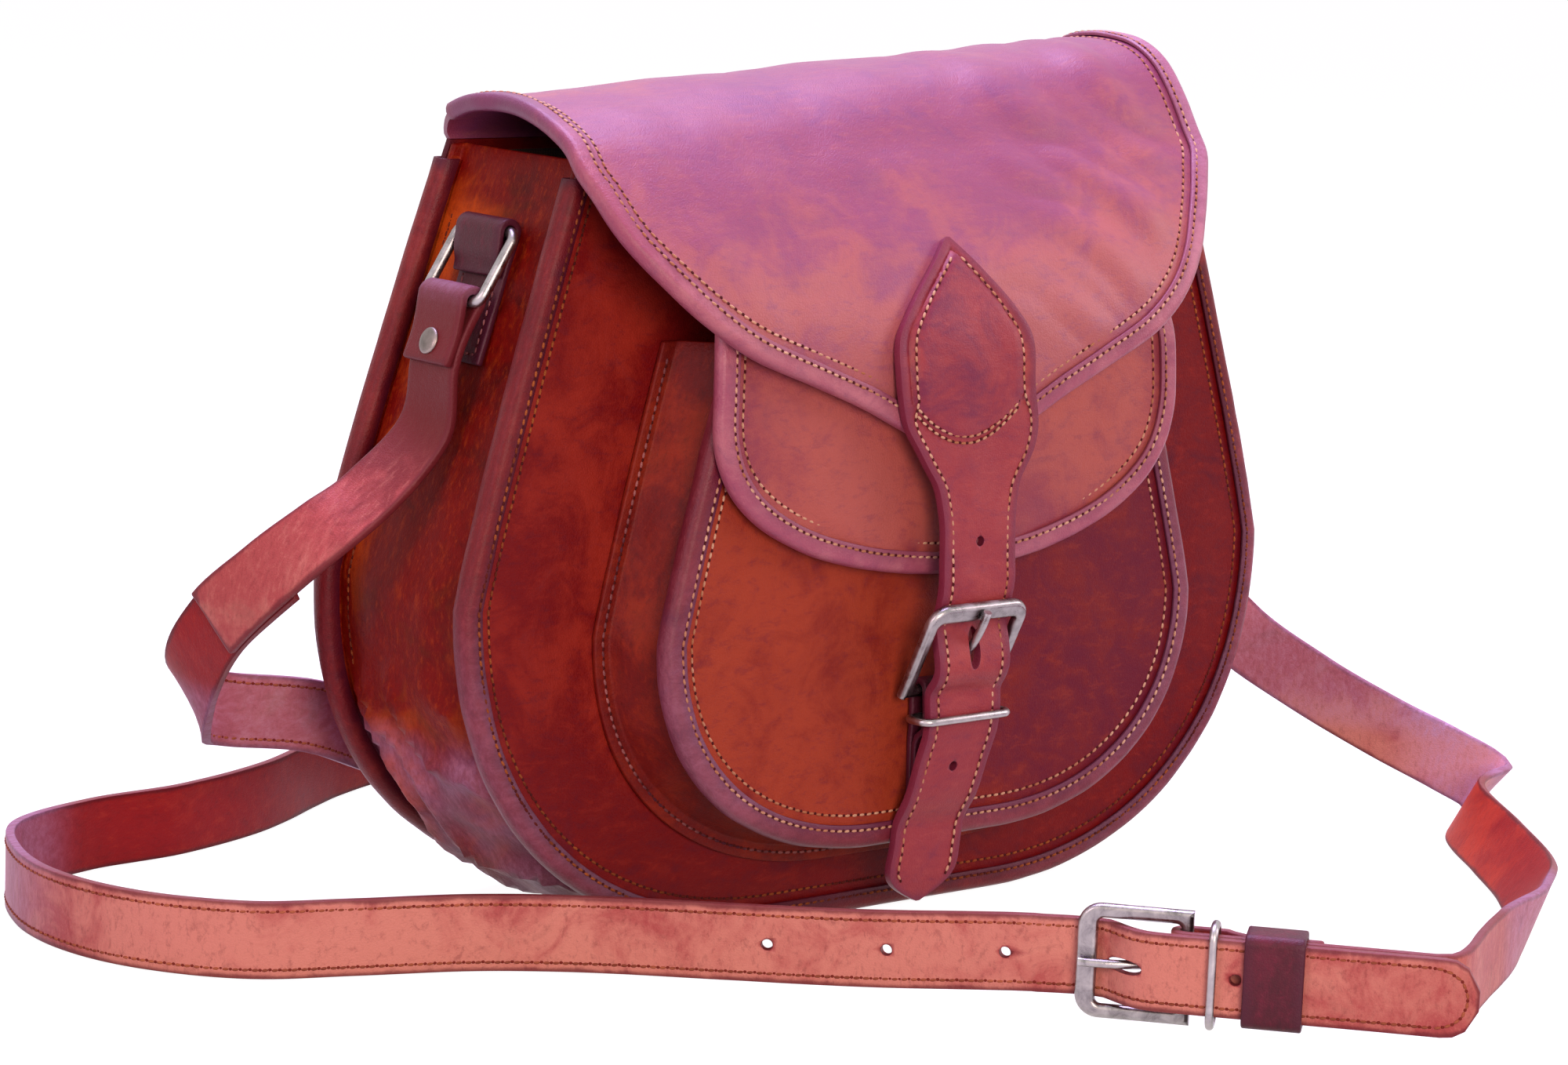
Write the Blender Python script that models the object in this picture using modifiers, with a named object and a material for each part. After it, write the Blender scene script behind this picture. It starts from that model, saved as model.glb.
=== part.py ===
"""Leather sling bag with a flap, a front pocket, a strap-and-buckle closure and a long shoulder strap.

Metres, +Z up. The bag stands on the floor with its front towards -Y, and the origin lies on the
floor under the middle of its base. The shoulder strap lies round it on the same floor, on edge.
"""
import math

import bmesh
import bpy
from mathutils import Matrix, Vector

# Bag body
BODY_WIDTH = 0.280
BODY_HEIGHT = 0.2065
MOUTH_WIDTH = 0.2124
WIDEST_SHARE = 0.4552
BASE_FLAT = 0.076
BASE_DEPTH = 0.072
MOUTH_DEPTH = 0.058
GUSSET_CROWN = 0.006
LINING_DROP = 0.002

# Front pocket
POCKET_WIDTH = 0.185
POCKET_MOUTH = 0.140
POCKET_TOP_SHARE = 0.799
POCKET_WIDEST_SHARE = 0.4068
POCKET_RIM_DROP = 0.005
POCKET_BOTTOM = 0.0235
POCKET_BASE_FLAT = 0.040
POCKET_DEPTH = 0.022
POCKET_SPLAY = 0.002
POCKET_FLANGE = 0.005

# Leather, cloth and edge binding
PANEL_LEATHER = 0.0020
GUSSET_LEATHER = 0.0020
FLAP_LEATHER = 0.0020
POCKET_LEATHER = 0.0016
TAB_LEATHER = 0.0018
STRAP_LEATHER = 0.0024
LINING_CLOTH = 0.0008
BINDING_LEATHER = 0.0011
BINDING_FACE = 0.0080
BINDING_INSET = 0.0026
SEAM_WIDTH = 0.0060
GAP = 0.0003

# Flaps
FLAP_WIDTH = 0.222
FLAP_DROP_SHARE = 0.3535
FLAP_RISE = 0.0160
FLAP_FRONT = 0.0646
POCKET_FLAP_WIDTH = 0.160
POCKET_FLAP_TOP_SHARE = 0.8523
POCKET_FLAP_DROP_SHARE = 0.3729

# Closure strap on the flap
CLOSURE_WIDTH = 0.0246
CLOSURE_DROP = 0.0195
CLOSURE_END = 0.0137
TEARDROP_WIDTH = 0.047
CLOSURE_LEAN_ANGLE = math.radians(11)
CLOSURE_HINGE_SHARE = 0.3172
CLOSURE_TILT = math.radians(28)
CHAPE_WIDTH = 0.0220
CHAPE_CLEARANCE = 0.005

# Buckles, rings and keepers
BAR = 0.0030
BAR_ROUNDING = 0.0011
BUCKLE_LENGTH = 0.024
BUCKLE_CORNER = 0.006
OUTER_BAR_EXTRA = 0.0022
BUCKLE_SIDE_PLAY = 0.0012
SIDE_BAR = 0.0036
PRONG_WIRE = 0.0023
KEEPER_WIRE = 0.0022
KEEPER_SETBACK = 0.0072
KEEPER_CORNER = 0.003
HAIRPIN_OPEN = 0.0098
HAIRPIN_CLOSED = 0.0145
HOLE = 0.0034
PRONG_SLOT = 0.0074
PRONG_REACH = 0.0028
HOLE_PITCH = 0.0213
RING_WIRE = 0.0030
RING_WIDTH = 0.0250
RING_HEIGHT = 0.0205
RING_CORNER = 0.003
RING_STAND_OFF = math.radians(13.75)
TAB_DROP = 0.0195
TAB_WIDTH = 0.0200
TAB_PATCH = 0.034
TAB_FRONT = 0.0115
RIVET_HEAD = 0.0072
RIVET_DOME = 0.0012
RIVET_SHANK = 0.0032
WELD = 0.00001

# Shoulder strap
STRAP_WIDTH = 0.0200
STRAP_END_FOLD = 0.018
STRAP_RIVET_DROP = 0.0125
STRAP_STAND_OFF = math.radians(1.75)
SPLICE_OVERLAP = 0.025
STRAP_FOLD_BACK = 0.034
STRAP_HOLE_PITCH = 0.031
BILLET_END = 0.073
STRAP_LIFT = 0.0053
STRAP_STEP = 0.0070
LEATHER_KEEPER_WIDTH = 0.0150
LEATHER_KEEPER_PLACE = 0.0225
LEATHER_KEEPER_WALL = 0.0018
FLOOR_CLEARANCE = 0.0003

# Shapes of the outline: how square the lower curve is, and how the sides draw in above it
LOWER_ROUND_SHARE = 0.909
SIDE_TAPER_SHARE = 1.1
LOWER_STEPS = 10
UPPER_STEPS = 4

# Flap: place in depth (1 at the front over the pocket, -1 at the fold), height above the fold
# (1 at the arch, then -1 at the tip), and half-width
FLAP_SHARES = (
    (-1.00, 0.00, 0.930), (-1.00, 0.14, 0.945), (-0.81, 0.60, 0.968), (-0.42, 0.93, 0.975),
    (0.04, 1.00, 0.980), (0.26, 0.84, 0.985), (0.44, 0.45, 0.990), (0.575, -0.015, 0.990),
    (0.675, -0.115, 0.945), (0.780, -0.24, 0.885), (0.875, -0.375, 0.812), (0.942, -0.51, 0.722),
    (0.980, -0.63, 0.610), (0.995, -0.74, 0.450), (0.998, -0.83, 0.315), (0.996, -0.915, 0.205),
    (1.00, -0.975, 0.125), (1.00, -1.00, 0.070),
)
# Pocket flap: distance out from the panel, height under its fold, and half-width
POCKET_FLAP_SHARES = (
    (0.00, 0.000, 0.880), (0.26, -0.010, 0.900), (0.60, 0.035, 0.930), (0.86, 0.130, 0.965),
    (0.970, 0.230, 0.990), (1.00, 0.360, 1.000), (1.00, 0.500, 1.000), (1.00, 0.625, 0.965),
    (1.00, 0.730, 0.890), (1.00, 0.820, 0.770), (1.00, 0.895, 0.610), (1.00, 0.955, 0.400),
    (1.00, 0.985, 0.220), (1.00, 1.000, 0.080),
)
CLOSURE_TAIL_SHARE = 0.255
# Closure strap: distance from its top point, and half-width against the teardrop's
TEARDROP_SHARES = (
    (0.000, 0.03), (0.036, 0.28), (0.090, 0.66), (0.142, 0.96), (0.170, 1.00), (0.220, 0.99),
    (0.260, 0.98), (0.279, 0.97), (0.303, 0.89), (0.331, 0.78), (0.360, 0.61), (0.388, 0.56),
    (0.410, 0.535),
)
TAIL_SHARES = (
    (0.000, 1.00), (0.45, 1.00), (0.70, 1.08), (0.80, 1.12), (0.90, 0.96), (0.965, 0.56), (1.0, 0.06),
)
# Gusset: place across its depth, and how much of the belly it takes
GUSSET_SHARES = (
    (0.0, 0.0), (0.075, 0.0), (0.20, 0.72), (0.33, 1.0), (0.67, 1.0), (0.80, 0.72), (0.925, 0.0), (1.0, 0.0),
)
# Shoulder strap: x and y against half the body width, lower edge above the floor against the
# body height, and the direction from the upper edge to the lower edge
LEFT_ROUTE_SHARES = (
    (-0.918, 0.004, 0.640, 0.05, -1.00, -0.20), (-1.020, 0.025, 0.556, 0.05, -0.93, -0.36),
    (-1.112, 0.057, 0.498, 0.05, -0.86, -0.51), (-1.178, 0.143, 0.431, 0.10, -0.80, -0.60),
    (-1.215, 0.250, 0.357, 0.20, -0.64, -0.74), (-1.207, 0.357, 0.280, 0.35, -0.55, -0.76),
    (-1.145, 0.436, 0.222, 0.40, -0.35, -0.85), (-1.049, 0.457, 0.198, 0.05, -0.10, -1.00),
    (-0.890, 0.414, 0.184, 0.00, 0.00, -1.00), (-0.700, 0.460, 0.133, 0.00, 0.00, -1.00),
    (-0.443, 0.579, 0.067, 0.00, 0.00, -1.00), (-0.207, 0.707, 0.019, 0.00, 0.00, -1.00),
    (-0.057, 0.850, 0.000, 0.00, 0.00, -1.00), (-0.064, 1.014, 0.000, 0.00, 0.00, -1.00),
    (-0.214, 1.100, 0.000, 0.00, 0.00, -1.00), (-0.429, 1.029, 0.000, 0.00, 0.00, -1.00),
    (-0.721, 0.850, 0.000, 0.00, 0.00, -1.00), (-0.971, 0.764, 0.000, 0.00, 0.00, -1.00),
    (-1.193, 0.743, 0.000, 0.00, 0.00, -1.00), (-1.400, 0.657, 0.000, 0.00, 0.00, -1.00),
    (-1.500, 0.457, 0.000, 0.00, 0.00, -1.00), (-1.514, 0.257, 0.000, 0.00, 0.00, -1.00),
    (-1.450, 0.071, 0.000, 0.00, 0.00, -1.00), (-1.321, -0.079, 0.000, 0.00, 0.00, -1.00),
    (-1.150, -0.157, 0.000, 0.00, 0.00, -1.00), (-0.943, -0.243, 0.000, 0.00, 0.00, -1.00),
    (-0.771, -0.364, 0.001, 0.00, 0.00, -1.00), (-0.600, -0.529, 0.003, 0.00, 0.00, -1.00),
    (-0.421, -0.714, 0.007, 0.00, 0.00, -1.00),
)
RIGHT_ROUTE_SHARES = (
    (0.918, 0.004, 0.640, 0.00, -1.00, -0.20), (1.000, 0.029, 0.462, 0.00, -0.70, -0.70),
    (1.114, 0.057, 0.322, 0.00, -0.30, -1.00), (1.257, 0.057, 0.212, 0.00, 0.00, -1.00),
    (1.371, -0.064, 0.138, 0.00, 0.00, -1.00), (1.457, -0.221, 0.083, -0.10, 0.10, -1.00),
    (1.525, -0.350, 0.047, -0.30, 0.25, -0.92), (1.561, -0.436, 0.022, -0.50, 0.35, -0.79),
    (1.411, -0.514, 0.004, -0.42, 0.22, -0.88), (1.271, -0.732, 0.000, -0.50, 0.38, -0.78),
    (1.121, -0.946, 0.000, -0.54, 0.42, -0.73), (0.871, -1.186, 0.005, -0.28, 0.20, -0.94),
    (0.600, -1.350, 0.016, 0.00, 0.00, -1.00), (0.429, -1.454, 0.023, 0.00, 0.00, -1.00),
)
# Turn behind the billet's tip: along from the hinge bar and outwards, against the billet's end
TURN_SHARES = ((0.962, -0.147), (0.932, -0.027), (0.903, 0.022))
STRAIGHT_SHARES = (0.85, 0.72, 0.60)
STRAP_HINGE_SHARES = (-0.055, -1.186)
STRAP_HEADING_SHARES = (0.6485, -0.7612)

HALF_BODY = BODY_WIDTH / 2
WIDEST_HEIGHT = BODY_HEIGHT * WIDEST_SHARE
POCKET_TOP = BODY_HEIGHT * POCKET_TOP_SHARE
POCKET_RIM = POCKET_TOP - POCKET_RIM_DROP
POCKET_WIDEST = BODY_HEIGHT * POCKET_WIDEST_SHARE
POCKET_FLAP_TOP = BODY_HEIGHT * POCKET_FLAP_TOP_SHARE
POCKET_FLAP_DROP = BODY_HEIGHT * POCKET_FLAP_DROP_SHARE
FLAP_DROP = BODY_HEIGHT * FLAP_DROP_SHARE
CLOSURE_TOP = BODY_HEIGHT - CLOSURE_DROP
CLOSURE_HINGE_HEIGHT = BODY_HEIGHT * CLOSURE_HINGE_SHARE
CHAPE_LENGTH = CLOSURE_HINGE_HEIGHT - POCKET_BOTTOM - BINDING_FACE - CHAPE_CLEARANCE
TAB_HEIGHT = BODY_HEIGHT - TAB_DROP
LEAN = math.atan((BASE_DEPTH - MOUTH_DEPTH) / 2 / BODY_HEIGHT)
BINDING_STACK = GAP + BINDING_LEATHER
BAR_RADIUS = BAR / 2


def clear_scene():
    for item in list(bpy.data.objects):
        bpy.data.objects.remove(item, do_unlink=True)


def collection(name):
    group = bpy.data.collections.new(name)
    bpy.context.scene.collection.children.link(group)
    return group


def finish(name, colour, roughness, metallic=0.0):
    material = bpy.data.materials.new(name)
    material.use_nodes = True
    shader = material.node_tree.nodes["Principled BSDF"]
    shader.inputs["Base Color"].default_value = (*colour, 1.0)
    shader.inputs["Roughness"].default_value = roughness
    shader.inputs["Metallic"].default_value = metallic
    material.diffuse_color = (*colour, 1.0)
    return material


def frame(name, place, parent=None):
    """An empty that carries the pieces of one part of the bag."""
    empty = bpy.data.objects.new(name, None)
    PARTS.objects.link(empty)
    empty.parent = parent
    empty.matrix_local = place
    return empty


def add(name, data, material, parent=None, place=None):
    item = bpy.data.objects.new(name, data)
    data.materials.append(material)
    PARTS.objects.link(item)
    item.parent = parent
    if place is not None:
        item.matrix_local = place
    return item


def round_off(mesh):
    mesh.shade_smooth()
    mesh.set_sharp_from_angle(angle=math.radians(40))


def between(table, share):
    """Straight interpolation in a table of rows whose first value rises."""
    for low, high in zip(table, table[1:]):
        if share <= high[0]:
            part = (share - low[0]) / (high[0] - low[0])
            return [a + (b - a) * part for a, b in zip(low, high)]
    return list(table[-1])


def spans_of(points, step):
    """How many pieces each stretch between two points is cut into."""
    return [max(1, round((end - start).length / step)) for start, end in zip(points, points[1:])]


def smooth_line(points, spans):
    """Points of a curve that runs through all the given points."""
    rows = [Vector(point) for point in points]
    ends = [rows[0] * 2 - rows[1]] + rows + [rows[-1] * 2 - rows[-2]]
    line = []
    for before, start, end, after, pieces in zip(ends, ends[1:], ends[2:], ends[3:], spans):
        for step in range(pieces):
            t = step / pieces
            line.append(
                (start * 2 + (end - before) * t
                 + (before * 2 - start * 5 + end * 4 - after) * t ** 2
                 + (start * 3 - before - end * 3 + after) * t ** 3) / 2
            )
    return line + [rows[-1]]


def even_line(line, count):
    """The same line with its points an equal distance apart."""
    lengths = [0.0]
    for start, end in zip(line, line[1:]):
        lengths.append(lengths[-1] + (end - start).length)
    result = []
    index = 0
    for step in range(count + 1):
        wanted = lengths[-1] * step / count
        while index < len(line) - 2 and lengths[index + 1] < wanted:
            index += 1
        run = lengths[index + 1] - lengths[index]
        part = (wanted - lengths[index]) / run if run else 0.0
        result.append(line[index].lerp(line[index + 1], min(part, 1.0)))
    return result


def pear(width, mouth, widest, top, flat, bottom, grow, rim):
    """Outline of a panel as (x, height) points, from the left end of its rim round the base."""
    right = []
    for step in range(LOWER_STEPS + 1):
        angle = math.pi / 2 * (1 - step / LOWER_STEPS)
        reach = width / 2 + grow - flat / 2
        fall = widest - bottom + grow
        x = flat / 2 + reach * math.cos(angle) ** LOWER_ROUND_SHARE
        right.append((x, widest - fall * math.sin(angle) ** LOWER_ROUND_SHARE))
    for step in range(1, UPPER_STEPS + 1):
        rise = step / UPPER_STEPS * (rim - widest) / (top - widest)
        x = mouth / 2 + grow + (width - mouth) / 2 * (1 - rise ** SIDE_TAPER_SHARE)
        right.append((x, widest + (top - widest) * rise))
    left = [(-x, height) for x, height in reversed(right)]
    return left + right


def body_outline(grow, rim=BODY_HEIGHT):
    return pear(BODY_WIDTH, MOUTH_WIDTH, WIDEST_HEIGHT, BODY_HEIGHT, BASE_FLAT, 0.0, grow, rim)


def pocket_outline(grow, rim=POCKET_RIM):
    size = (POCKET_WIDTH, POCKET_MOUTH, POCKET_WIDEST, POCKET_TOP, POCKET_BASE_FLAT, POCKET_BOTTOM)
    return pear(*size, grow, rim)


def half_depth(height):
    return BASE_DEPTH / 2 - height * math.tan(LEAN)


def sheet(name, rows, thickness, material, parent=None):
    """A grid of leather or cloth laid through rows of points and thickened about its middle."""
    across = len(rows[0]) - 1
    along = len(rows) - 1
    shape = bmesh.new()
    bmesh.ops.create_grid(shape, x_segments=across, y_segments=along, size=1)
    for vertex in shape.verts:
        column = round((vertex.co.x + 1) / 2 * across)
        row = round((vertex.co.y + 1) / 2 * along)
        vertex.co = rows[row][column]
    mesh = bpy.data.meshes.new(name)
    shape.to_mesh(mesh)
    shape.free()
    round_off(mesh)
    item = add(name, mesh, material, parent)
    wall = item.modifiers.new("Leather", "SOLIDIFY")
    wall.thickness = thickness
    wall.offset = 0.0
    wall.use_even_offset = True
    return item


def plate(name, outlines, thickness, material, parent=None, place=None, rounding=0.0):
    """A flat piece cut to its outline, with any further outlines as holes."""
    data = bpy.data.curves.new(name, "CURVE")
    data.dimensions = "2D"
    data.fill_mode = "BOTH"
    data.extrude = thickness / 2 - rounding
    data.bevel_depth = rounding
    data.bevel_resolution = 1
    data.offset = -rounding
    for outline in outlines:
        spline = data.splines.new("POLY")
        spline.points.add(len(outline) - 1)
        spline.use_cyclic_u = True
        for point, (x, y) in zip(spline.points, outline):
            point.co = (x, y, 0.0, 1.0)
    return add(name, data, material, parent, place)


def wire(name, points, diameter, material, parent=None, closed=False, place=None):
    data = bpy.data.curves.new(name, "CURVE")
    data.dimensions = "3D"
    data.bevel_depth = diameter / 2
    data.bevel_resolution = 2
    data.use_fill_caps = not closed
    spline = data.splines.new("POLY")
    spline.points.add(len(points) - 1)
    spline.use_cyclic_u = closed
    for target, point in zip(spline.points, points):
        target.co = (*point, 1.0)
    return add(name, data, material, parent, place)


def rounded_rectangle(low_x, high_x, low_y, high_y, corner, steps=3):
    points = []
    corners = (
        (high_x - corner, high_y - corner, 0), (low_x + corner, high_y - corner, 1),
        (low_x + corner, low_y + corner, 2), (high_x - corner, low_y + corner, 3),
    )
    for centre_x, centre_y, quarter in corners:
        for step in range(steps + 1):
            angle = math.pi / 2 * (quarter + step / steps)
            points.append((centre_x + corner * math.cos(angle), centre_y + corner * math.sin(angle)))
    return points


def cut(item, cutters):
    for cutter in cutters:
        hole = item.modifiers.new("Cut", "BOOLEAN")
        hole.operation = "DIFFERENCE"
        hole.solver = "EXACT"
        hole.object = cutter


def cutter(name, shape, place, parent=None):
    mesh = bpy.data.meshes.new(name)
    shape.to_mesh(mesh)
    shape.free()
    item = bpy.data.objects.new(name, mesh)
    CUTTERS.objects.link(item)
    item.parent = parent
    item.matrix_local = place
    item.hide_render = True
    item.display_type = "WIRE"
    return item


def punch(name, width, length, depth, place, parent=None):
    """A punched hole, long along its own Y and cut along its own Z."""
    shape = bmesh.new()
    radius = width / 2
    bmesh.ops.create_cone(shape, cap_ends=True, segments=12, radius1=radius, radius2=radius, depth=depth)
    bmesh.ops.scale(shape, vec=(1.0, length / width, 1.0), verts=shape.verts)
    return cutter(name, shape, place, parent)


def slot(name, width, length, depth, place, parent=None):
    shape = bmesh.new()
    bmesh.ops.create_cube(shape, size=1.0)
    bmesh.ops.scale(shape, vec=(width, length, depth), verts=shape.verts)
    return cutter(name, shape, place, parent)


def axes(origin, x_axis, y_axis, z_axis):
    """A placement whose own X, Y and Z point along the given directions."""
    turn = Matrix((x_axis, y_axis, z_axis)).transposed()
    return Matrix.Translation(origin) @ turn.to_4x4()


def bound_edge(line, outward, normal, face, inner_face, half_stack):
    """Rows of a binding folded over an edge: face leg, round nose and inner leg."""
    nose = BINDING_LEATHER / 2
    level = half_stack + GAP + nose
    section = (
        (-face, level), (-nose - level * 0.55, level), (-nose, level * 0.45),
        (-nose, -level * 0.45), (-nose - level * 0.55, -level), (-inner_face, -level),
    )
    rows = []
    for point, away, up in zip(line, outward, normal):
        rows.append([point + away * reach + up * height for reach, height in section])
    return rows


def panel_binding(name, outline, stack, middle, face, inner_face, side, parent, material):
    """Binding round the edge of a flat panel. Side is -1 in front and 1 behind."""
    outer = outline(0.0)
    inner = outline(-BINDING_FACE)
    line = []
    outward = []
    for (x, height), (inner_x, inner_height) in zip(outer, inner):
        line.append(Vector((x, middle * side, height)))
        away = Vector((x - inner_x, 0.0, height - inner_height))
        outward.append(away / BINDING_FACE)
    normal = [Vector((0.0, side, 0.0))] * len(line)
    rows = bound_edge(line, outward, normal, face, inner_face, stack / 2)
    return sheet(name, rows, BINDING_LEATHER, material, parent)


def stood_up(level):
    """Placement of a flat piece stood on its lower edge at a depth."""
    return Matrix.Translation((0.0, level, 0.0)) @ Matrix.Rotation(math.pi / 2, 4, "X")


def make_body():
    for side, name in ((-1, "front"), (1, "back")):
        carrier = FRONT if side < 0 else BACK
        upright = stood_up(side * PANEL_LEATHER / 2)
        plate(name + "_panel", [body_outline(-BINDING_INSET)], PANEL_LEATHER, PANEL, carrier, upright)
        stack = PANEL_LEATHER + GAP + GUSSET_LEATHER
        middle = PANEL_LEATHER - stack / 2
        seam = SEAM_WIDTH - GAP * 3
        panel_binding(name + "_binding", bound_body, stack, middle, BINDING_FACE, seam, side, carrier, EDGE)
    make_gusset()
    make_lining()


def bound_body(grow):
    return body_outline(grow, BODY_HEIGHT - BINDING_FACE / 2)


def bound_pocket(grow):
    return pocket_outline(grow, POCKET_RIM - BINDING_FACE / 2)


def gusset_crown(height):
    """How far the soft wall bellies out; at the base it hangs down to the floor."""
    low = SEAM_WIDTH + GUSSET_LEATHER / 2
    return GUSSET_CROWN * (1 - max(height - low, 0.0) / BODY_HEIGHT) ** 2


def gusset_face(height):
    """How far out the gusset's outer face stands on its middle line at a height over the widest."""
    rise = (height - WIDEST_HEIGHT) / (BODY_HEIGHT - WIDEST_HEIGHT)
    draw_in = (BODY_WIDTH - MOUTH_WIDTH) / 2 * (1 - rise ** SIDE_TAPER_SHARE)
    return MOUTH_WIDTH / 2 - SEAM_WIDTH + draw_in + gusset_crown(height)


def make_gusset():
    wall = -SEAM_WIDTH - GUSSET_LEATHER / 2
    section = [(wall, depth_share, crown_share) for depth_share, crown_share in GUSSET_SHARES]
    section = [(-BINDING_INSET, *GUSSET_SHARES[0])] + section + [(-BINDING_INSET, *GUSSET_SHARES[-1])]
    columns = []
    for grow, depth_share, crown_share in section:
        full = body_outline(grow + GUSSET_CROWN)
        plain = body_outline(grow)
        column = []
        for (x, height), (full_x, full_height) in zip(plain, full):
            swell = crown_share * gusset_crown(height) / GUSSET_CROWN
            reach = half_depth(height) - GAP - GUSSET_LEATHER / 2
            y = reach * (2 * depth_share - 1)
            column.append(Vector((x + (full_x - x) * swell, y, height + (full_height - height) * swell)))
        columns.append(column)
    rows = [list(row) for row in zip(*columns)]
    sheet("gusset", rows, GUSSET_LEATHER, GUSSET)


def make_lining():
    """Cloth pouch that hangs inside the body, open at the mouth."""
    outline = body_outline(-SEAM_WIDTH - GUSSET_LEATHER - GAP * 2, BODY_HEIGHT - LINING_DROP)
    shape = bmesh.new()
    front = [shape.verts.new((x, GAP - half_depth(height), height)) for x, height in outline]
    face = shape.faces.new(front)
    spread = bmesh.ops.extrude_face_region(shape, geom=[face], use_keep_orig=True)
    for item in spread["geom"]:
        if isinstance(item, bmesh.types.BMVert):
            item.co.y = half_depth(item.co.z) - GAP
    mouth = [f for f in shape.faces if all(v.co.z > BODY_HEIGHT - LINING_DROP * 2 for v in f.verts)]
    bmesh.ops.delete(shape, geom=mouth, context="FACES")
    bmesh.ops.recalc_face_normals(shape, faces=shape.faces)
    mesh = bpy.data.meshes.new("lining")
    shape.to_mesh(mesh)
    shape.free()
    item = add("lining", mesh, CLOTH)
    wall = item.modifiers.new("Cloth", "SOLIDIFY")
    wall.thickness = LINING_CLOTH
    wall.offset = -1.0
    wall.use_even_offset = True


def make_pocket():
    """Box pocket on the front panel: a gathered wall, a front and its edge binding."""
    face_level = PANEL_LEATHER + POCKET_DEPTH
    upright = stood_up(POCKET_LEATHER / 2 - face_level)
    plate("pocket_front", [pocket_outline(-BINDING_INSET)], POCKET_LEATHER, POCKET, FRONT, upright)
    flange = PANEL_LEATHER + GAP + POCKET_LEATHER / 2
    seat = face_level - POCKET_LEATHER - GAP - POCKET_LEATHER / 2
    wall = -SEAM_WIDTH - POCKET_LEATHER / 2
    section = (
        (POCKET_SPLAY + POCKET_FLANGE, flange), (POCKET_SPLAY, flange),
        ((POCKET_SPLAY + wall) / 2, flange + (seat - flange) * 0.4), (wall, seat - SEAM_WIDTH * 0.7),
        (wall, seat), (-BINDING_INSET, seat),
    )
    columns = []
    for grow, level in section:
        columns.append([Vector((x, -level, height)) for x, height in pocket_outline(grow)])
    sheet("pocket_gusset", [list(row) for row in zip(*columns)], POCKET_LEATHER, POCKET, FRONT)
    stack = POCKET_LEATHER * 2 + GAP
    middle = face_level - stack / 2
    seam = SEAM_WIDTH - GAP * 2
    panel_binding("pocket_binding", bound_pocket, stack, middle, BINDING_FACE, seam, -1, FRONT, EDGE)


def edge_of(rows):
    """Edge of a flap from its fold down one side, round the tip and up the other side."""
    left = [row[0] for row in rows]
    right = [row[-1] for row in rows]
    line = left + list(reversed(right))
    outward = []
    normal = []
    inner = [row[1] for row in rows] + list(reversed([row[-2] for row in rows]))
    count = len(line)
    for index, point in enumerate(line):
        run = line[min(index + 1, count - 1)] - line[max(index - 1, 0)]
        run.normalize()
        inward = inner[index] - point
        up = run.cross(inward).normalized()
        outward.append(up.cross(run).normalized() * -1)
        normal.append(up)
    return line, outward, normal


def flap_rows(line, columns):
    """Rows of a flap across its middle line, whose points carry the half-width as x."""
    rows = []
    for half, y, z in line:
        rows.append([Vector((half * (2 * c / columns - 1), y, z)) for c in range(columns + 1)])
    return rows


def make_flap():
    """Top flap, folded at the back edge, with its binding. Returns its middle line."""
    inside = -FLAP_LEATHER / 2
    half_width = FLAP_WIDTH / 2 - BINDING_INSET
    points = []
    for depth, rise, half_share in FLAP_SHARES:
        y = -BACK_FACE - depth * FLAP_FRONT if depth > 0 else inside - (1 + depth) * (BACK_FACE + inside)
        points.append((half_share * half_width, y, rise * (FLAP_RISE if rise > 0 else FLAP_DROP)))
    fine = smooth_line(points, [6] * len(points))
    rows = flap_rows(even_line(fine, 28), 4)
    sheet("flap", rows, FLAP_LEATHER, FLAP, FLAP_HINGE)
    line, outward, normal = edge_of(rows)
    line = [point + away * BINDING_INSET for point, away in zip(line, outward)]
    bound = bound_edge(line[2:-2], outward[2:-2], normal[2:-2], BINDING_FACE, SEAM_WIDTH, FLAP_LEATHER / 2)
    sheet("flap_binding", bound, BINDING_LEATHER, EDGE, FLAP_HINGE)
    return [FLAP_HINGE.matrix_world @ Vector((0.0, point.y, point.z)) for point in even_line(fine, 90)]


def make_pocket_flap():
    reach = POCKET_DEPTH + BINDING_STACK * 2 + POCKET_LEATHER / 2
    start = POCKET_LEATHER / 2
    half_width = POCKET_FLAP_WIDTH / 2 - BINDING_INSET
    points = []
    for out, fall, half_share in POCKET_FLAP_SHARES:
        points.append((half_share * half_width, -start - out * (reach - start), -fall * POCKET_FLAP_DROP))
    rows = flap_rows(even_line(smooth_line(points, [6] * len(points)), 22), 4)
    sheet("pocket_flap", rows, POCKET_LEATHER, FLAP, POCKET_FLAP_HINGE)
    line, outward, normal = edge_of(rows)
    line = [point + away * BINDING_INSET for point, away in zip(line, outward)]
    bound = bound_edge(line[3:-3], outward[3:-3], normal[3:-3], BINDING_FACE, SEAM_WIDTH, POCKET_LEATHER / 2)
    sheet("pocket_flap_binding", bound, BINDING_LEATHER, EDGE, POCKET_FLAP_HINGE)


def buckle_frame(name, strap_width, place, parent):
    """Cast frame: a thin hinge bar at the origin and a broad outer bar along +Y."""
    inner = strap_width / 2 + BUCKLE_SIDE_PLAY
    outer = inner + SIDE_BAR
    far = BUCKLE_LENGTH + BAR_RADIUS
    outline = rounded_rectangle(-outer, outer, -BAR_RADIUS, far + OUTER_BAR_EXTRA, BUCKLE_CORNER)
    for index, (x, y) in enumerate(outline):
        if y < BUCKLE_CORNER - BAR_RADIUS:
            outline[index] = (math.copysign(min(abs(x) + BUCKLE_CORNER, outer), x), y)
    window = rounded_rectangle(-inner, inner, BAR_RADIUS, far - BAR, BUCKLE_CORNER / 4)
    return plate(name, [outline, window], BAR, METAL, parent, place, BAR_ROUNDING)


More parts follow.
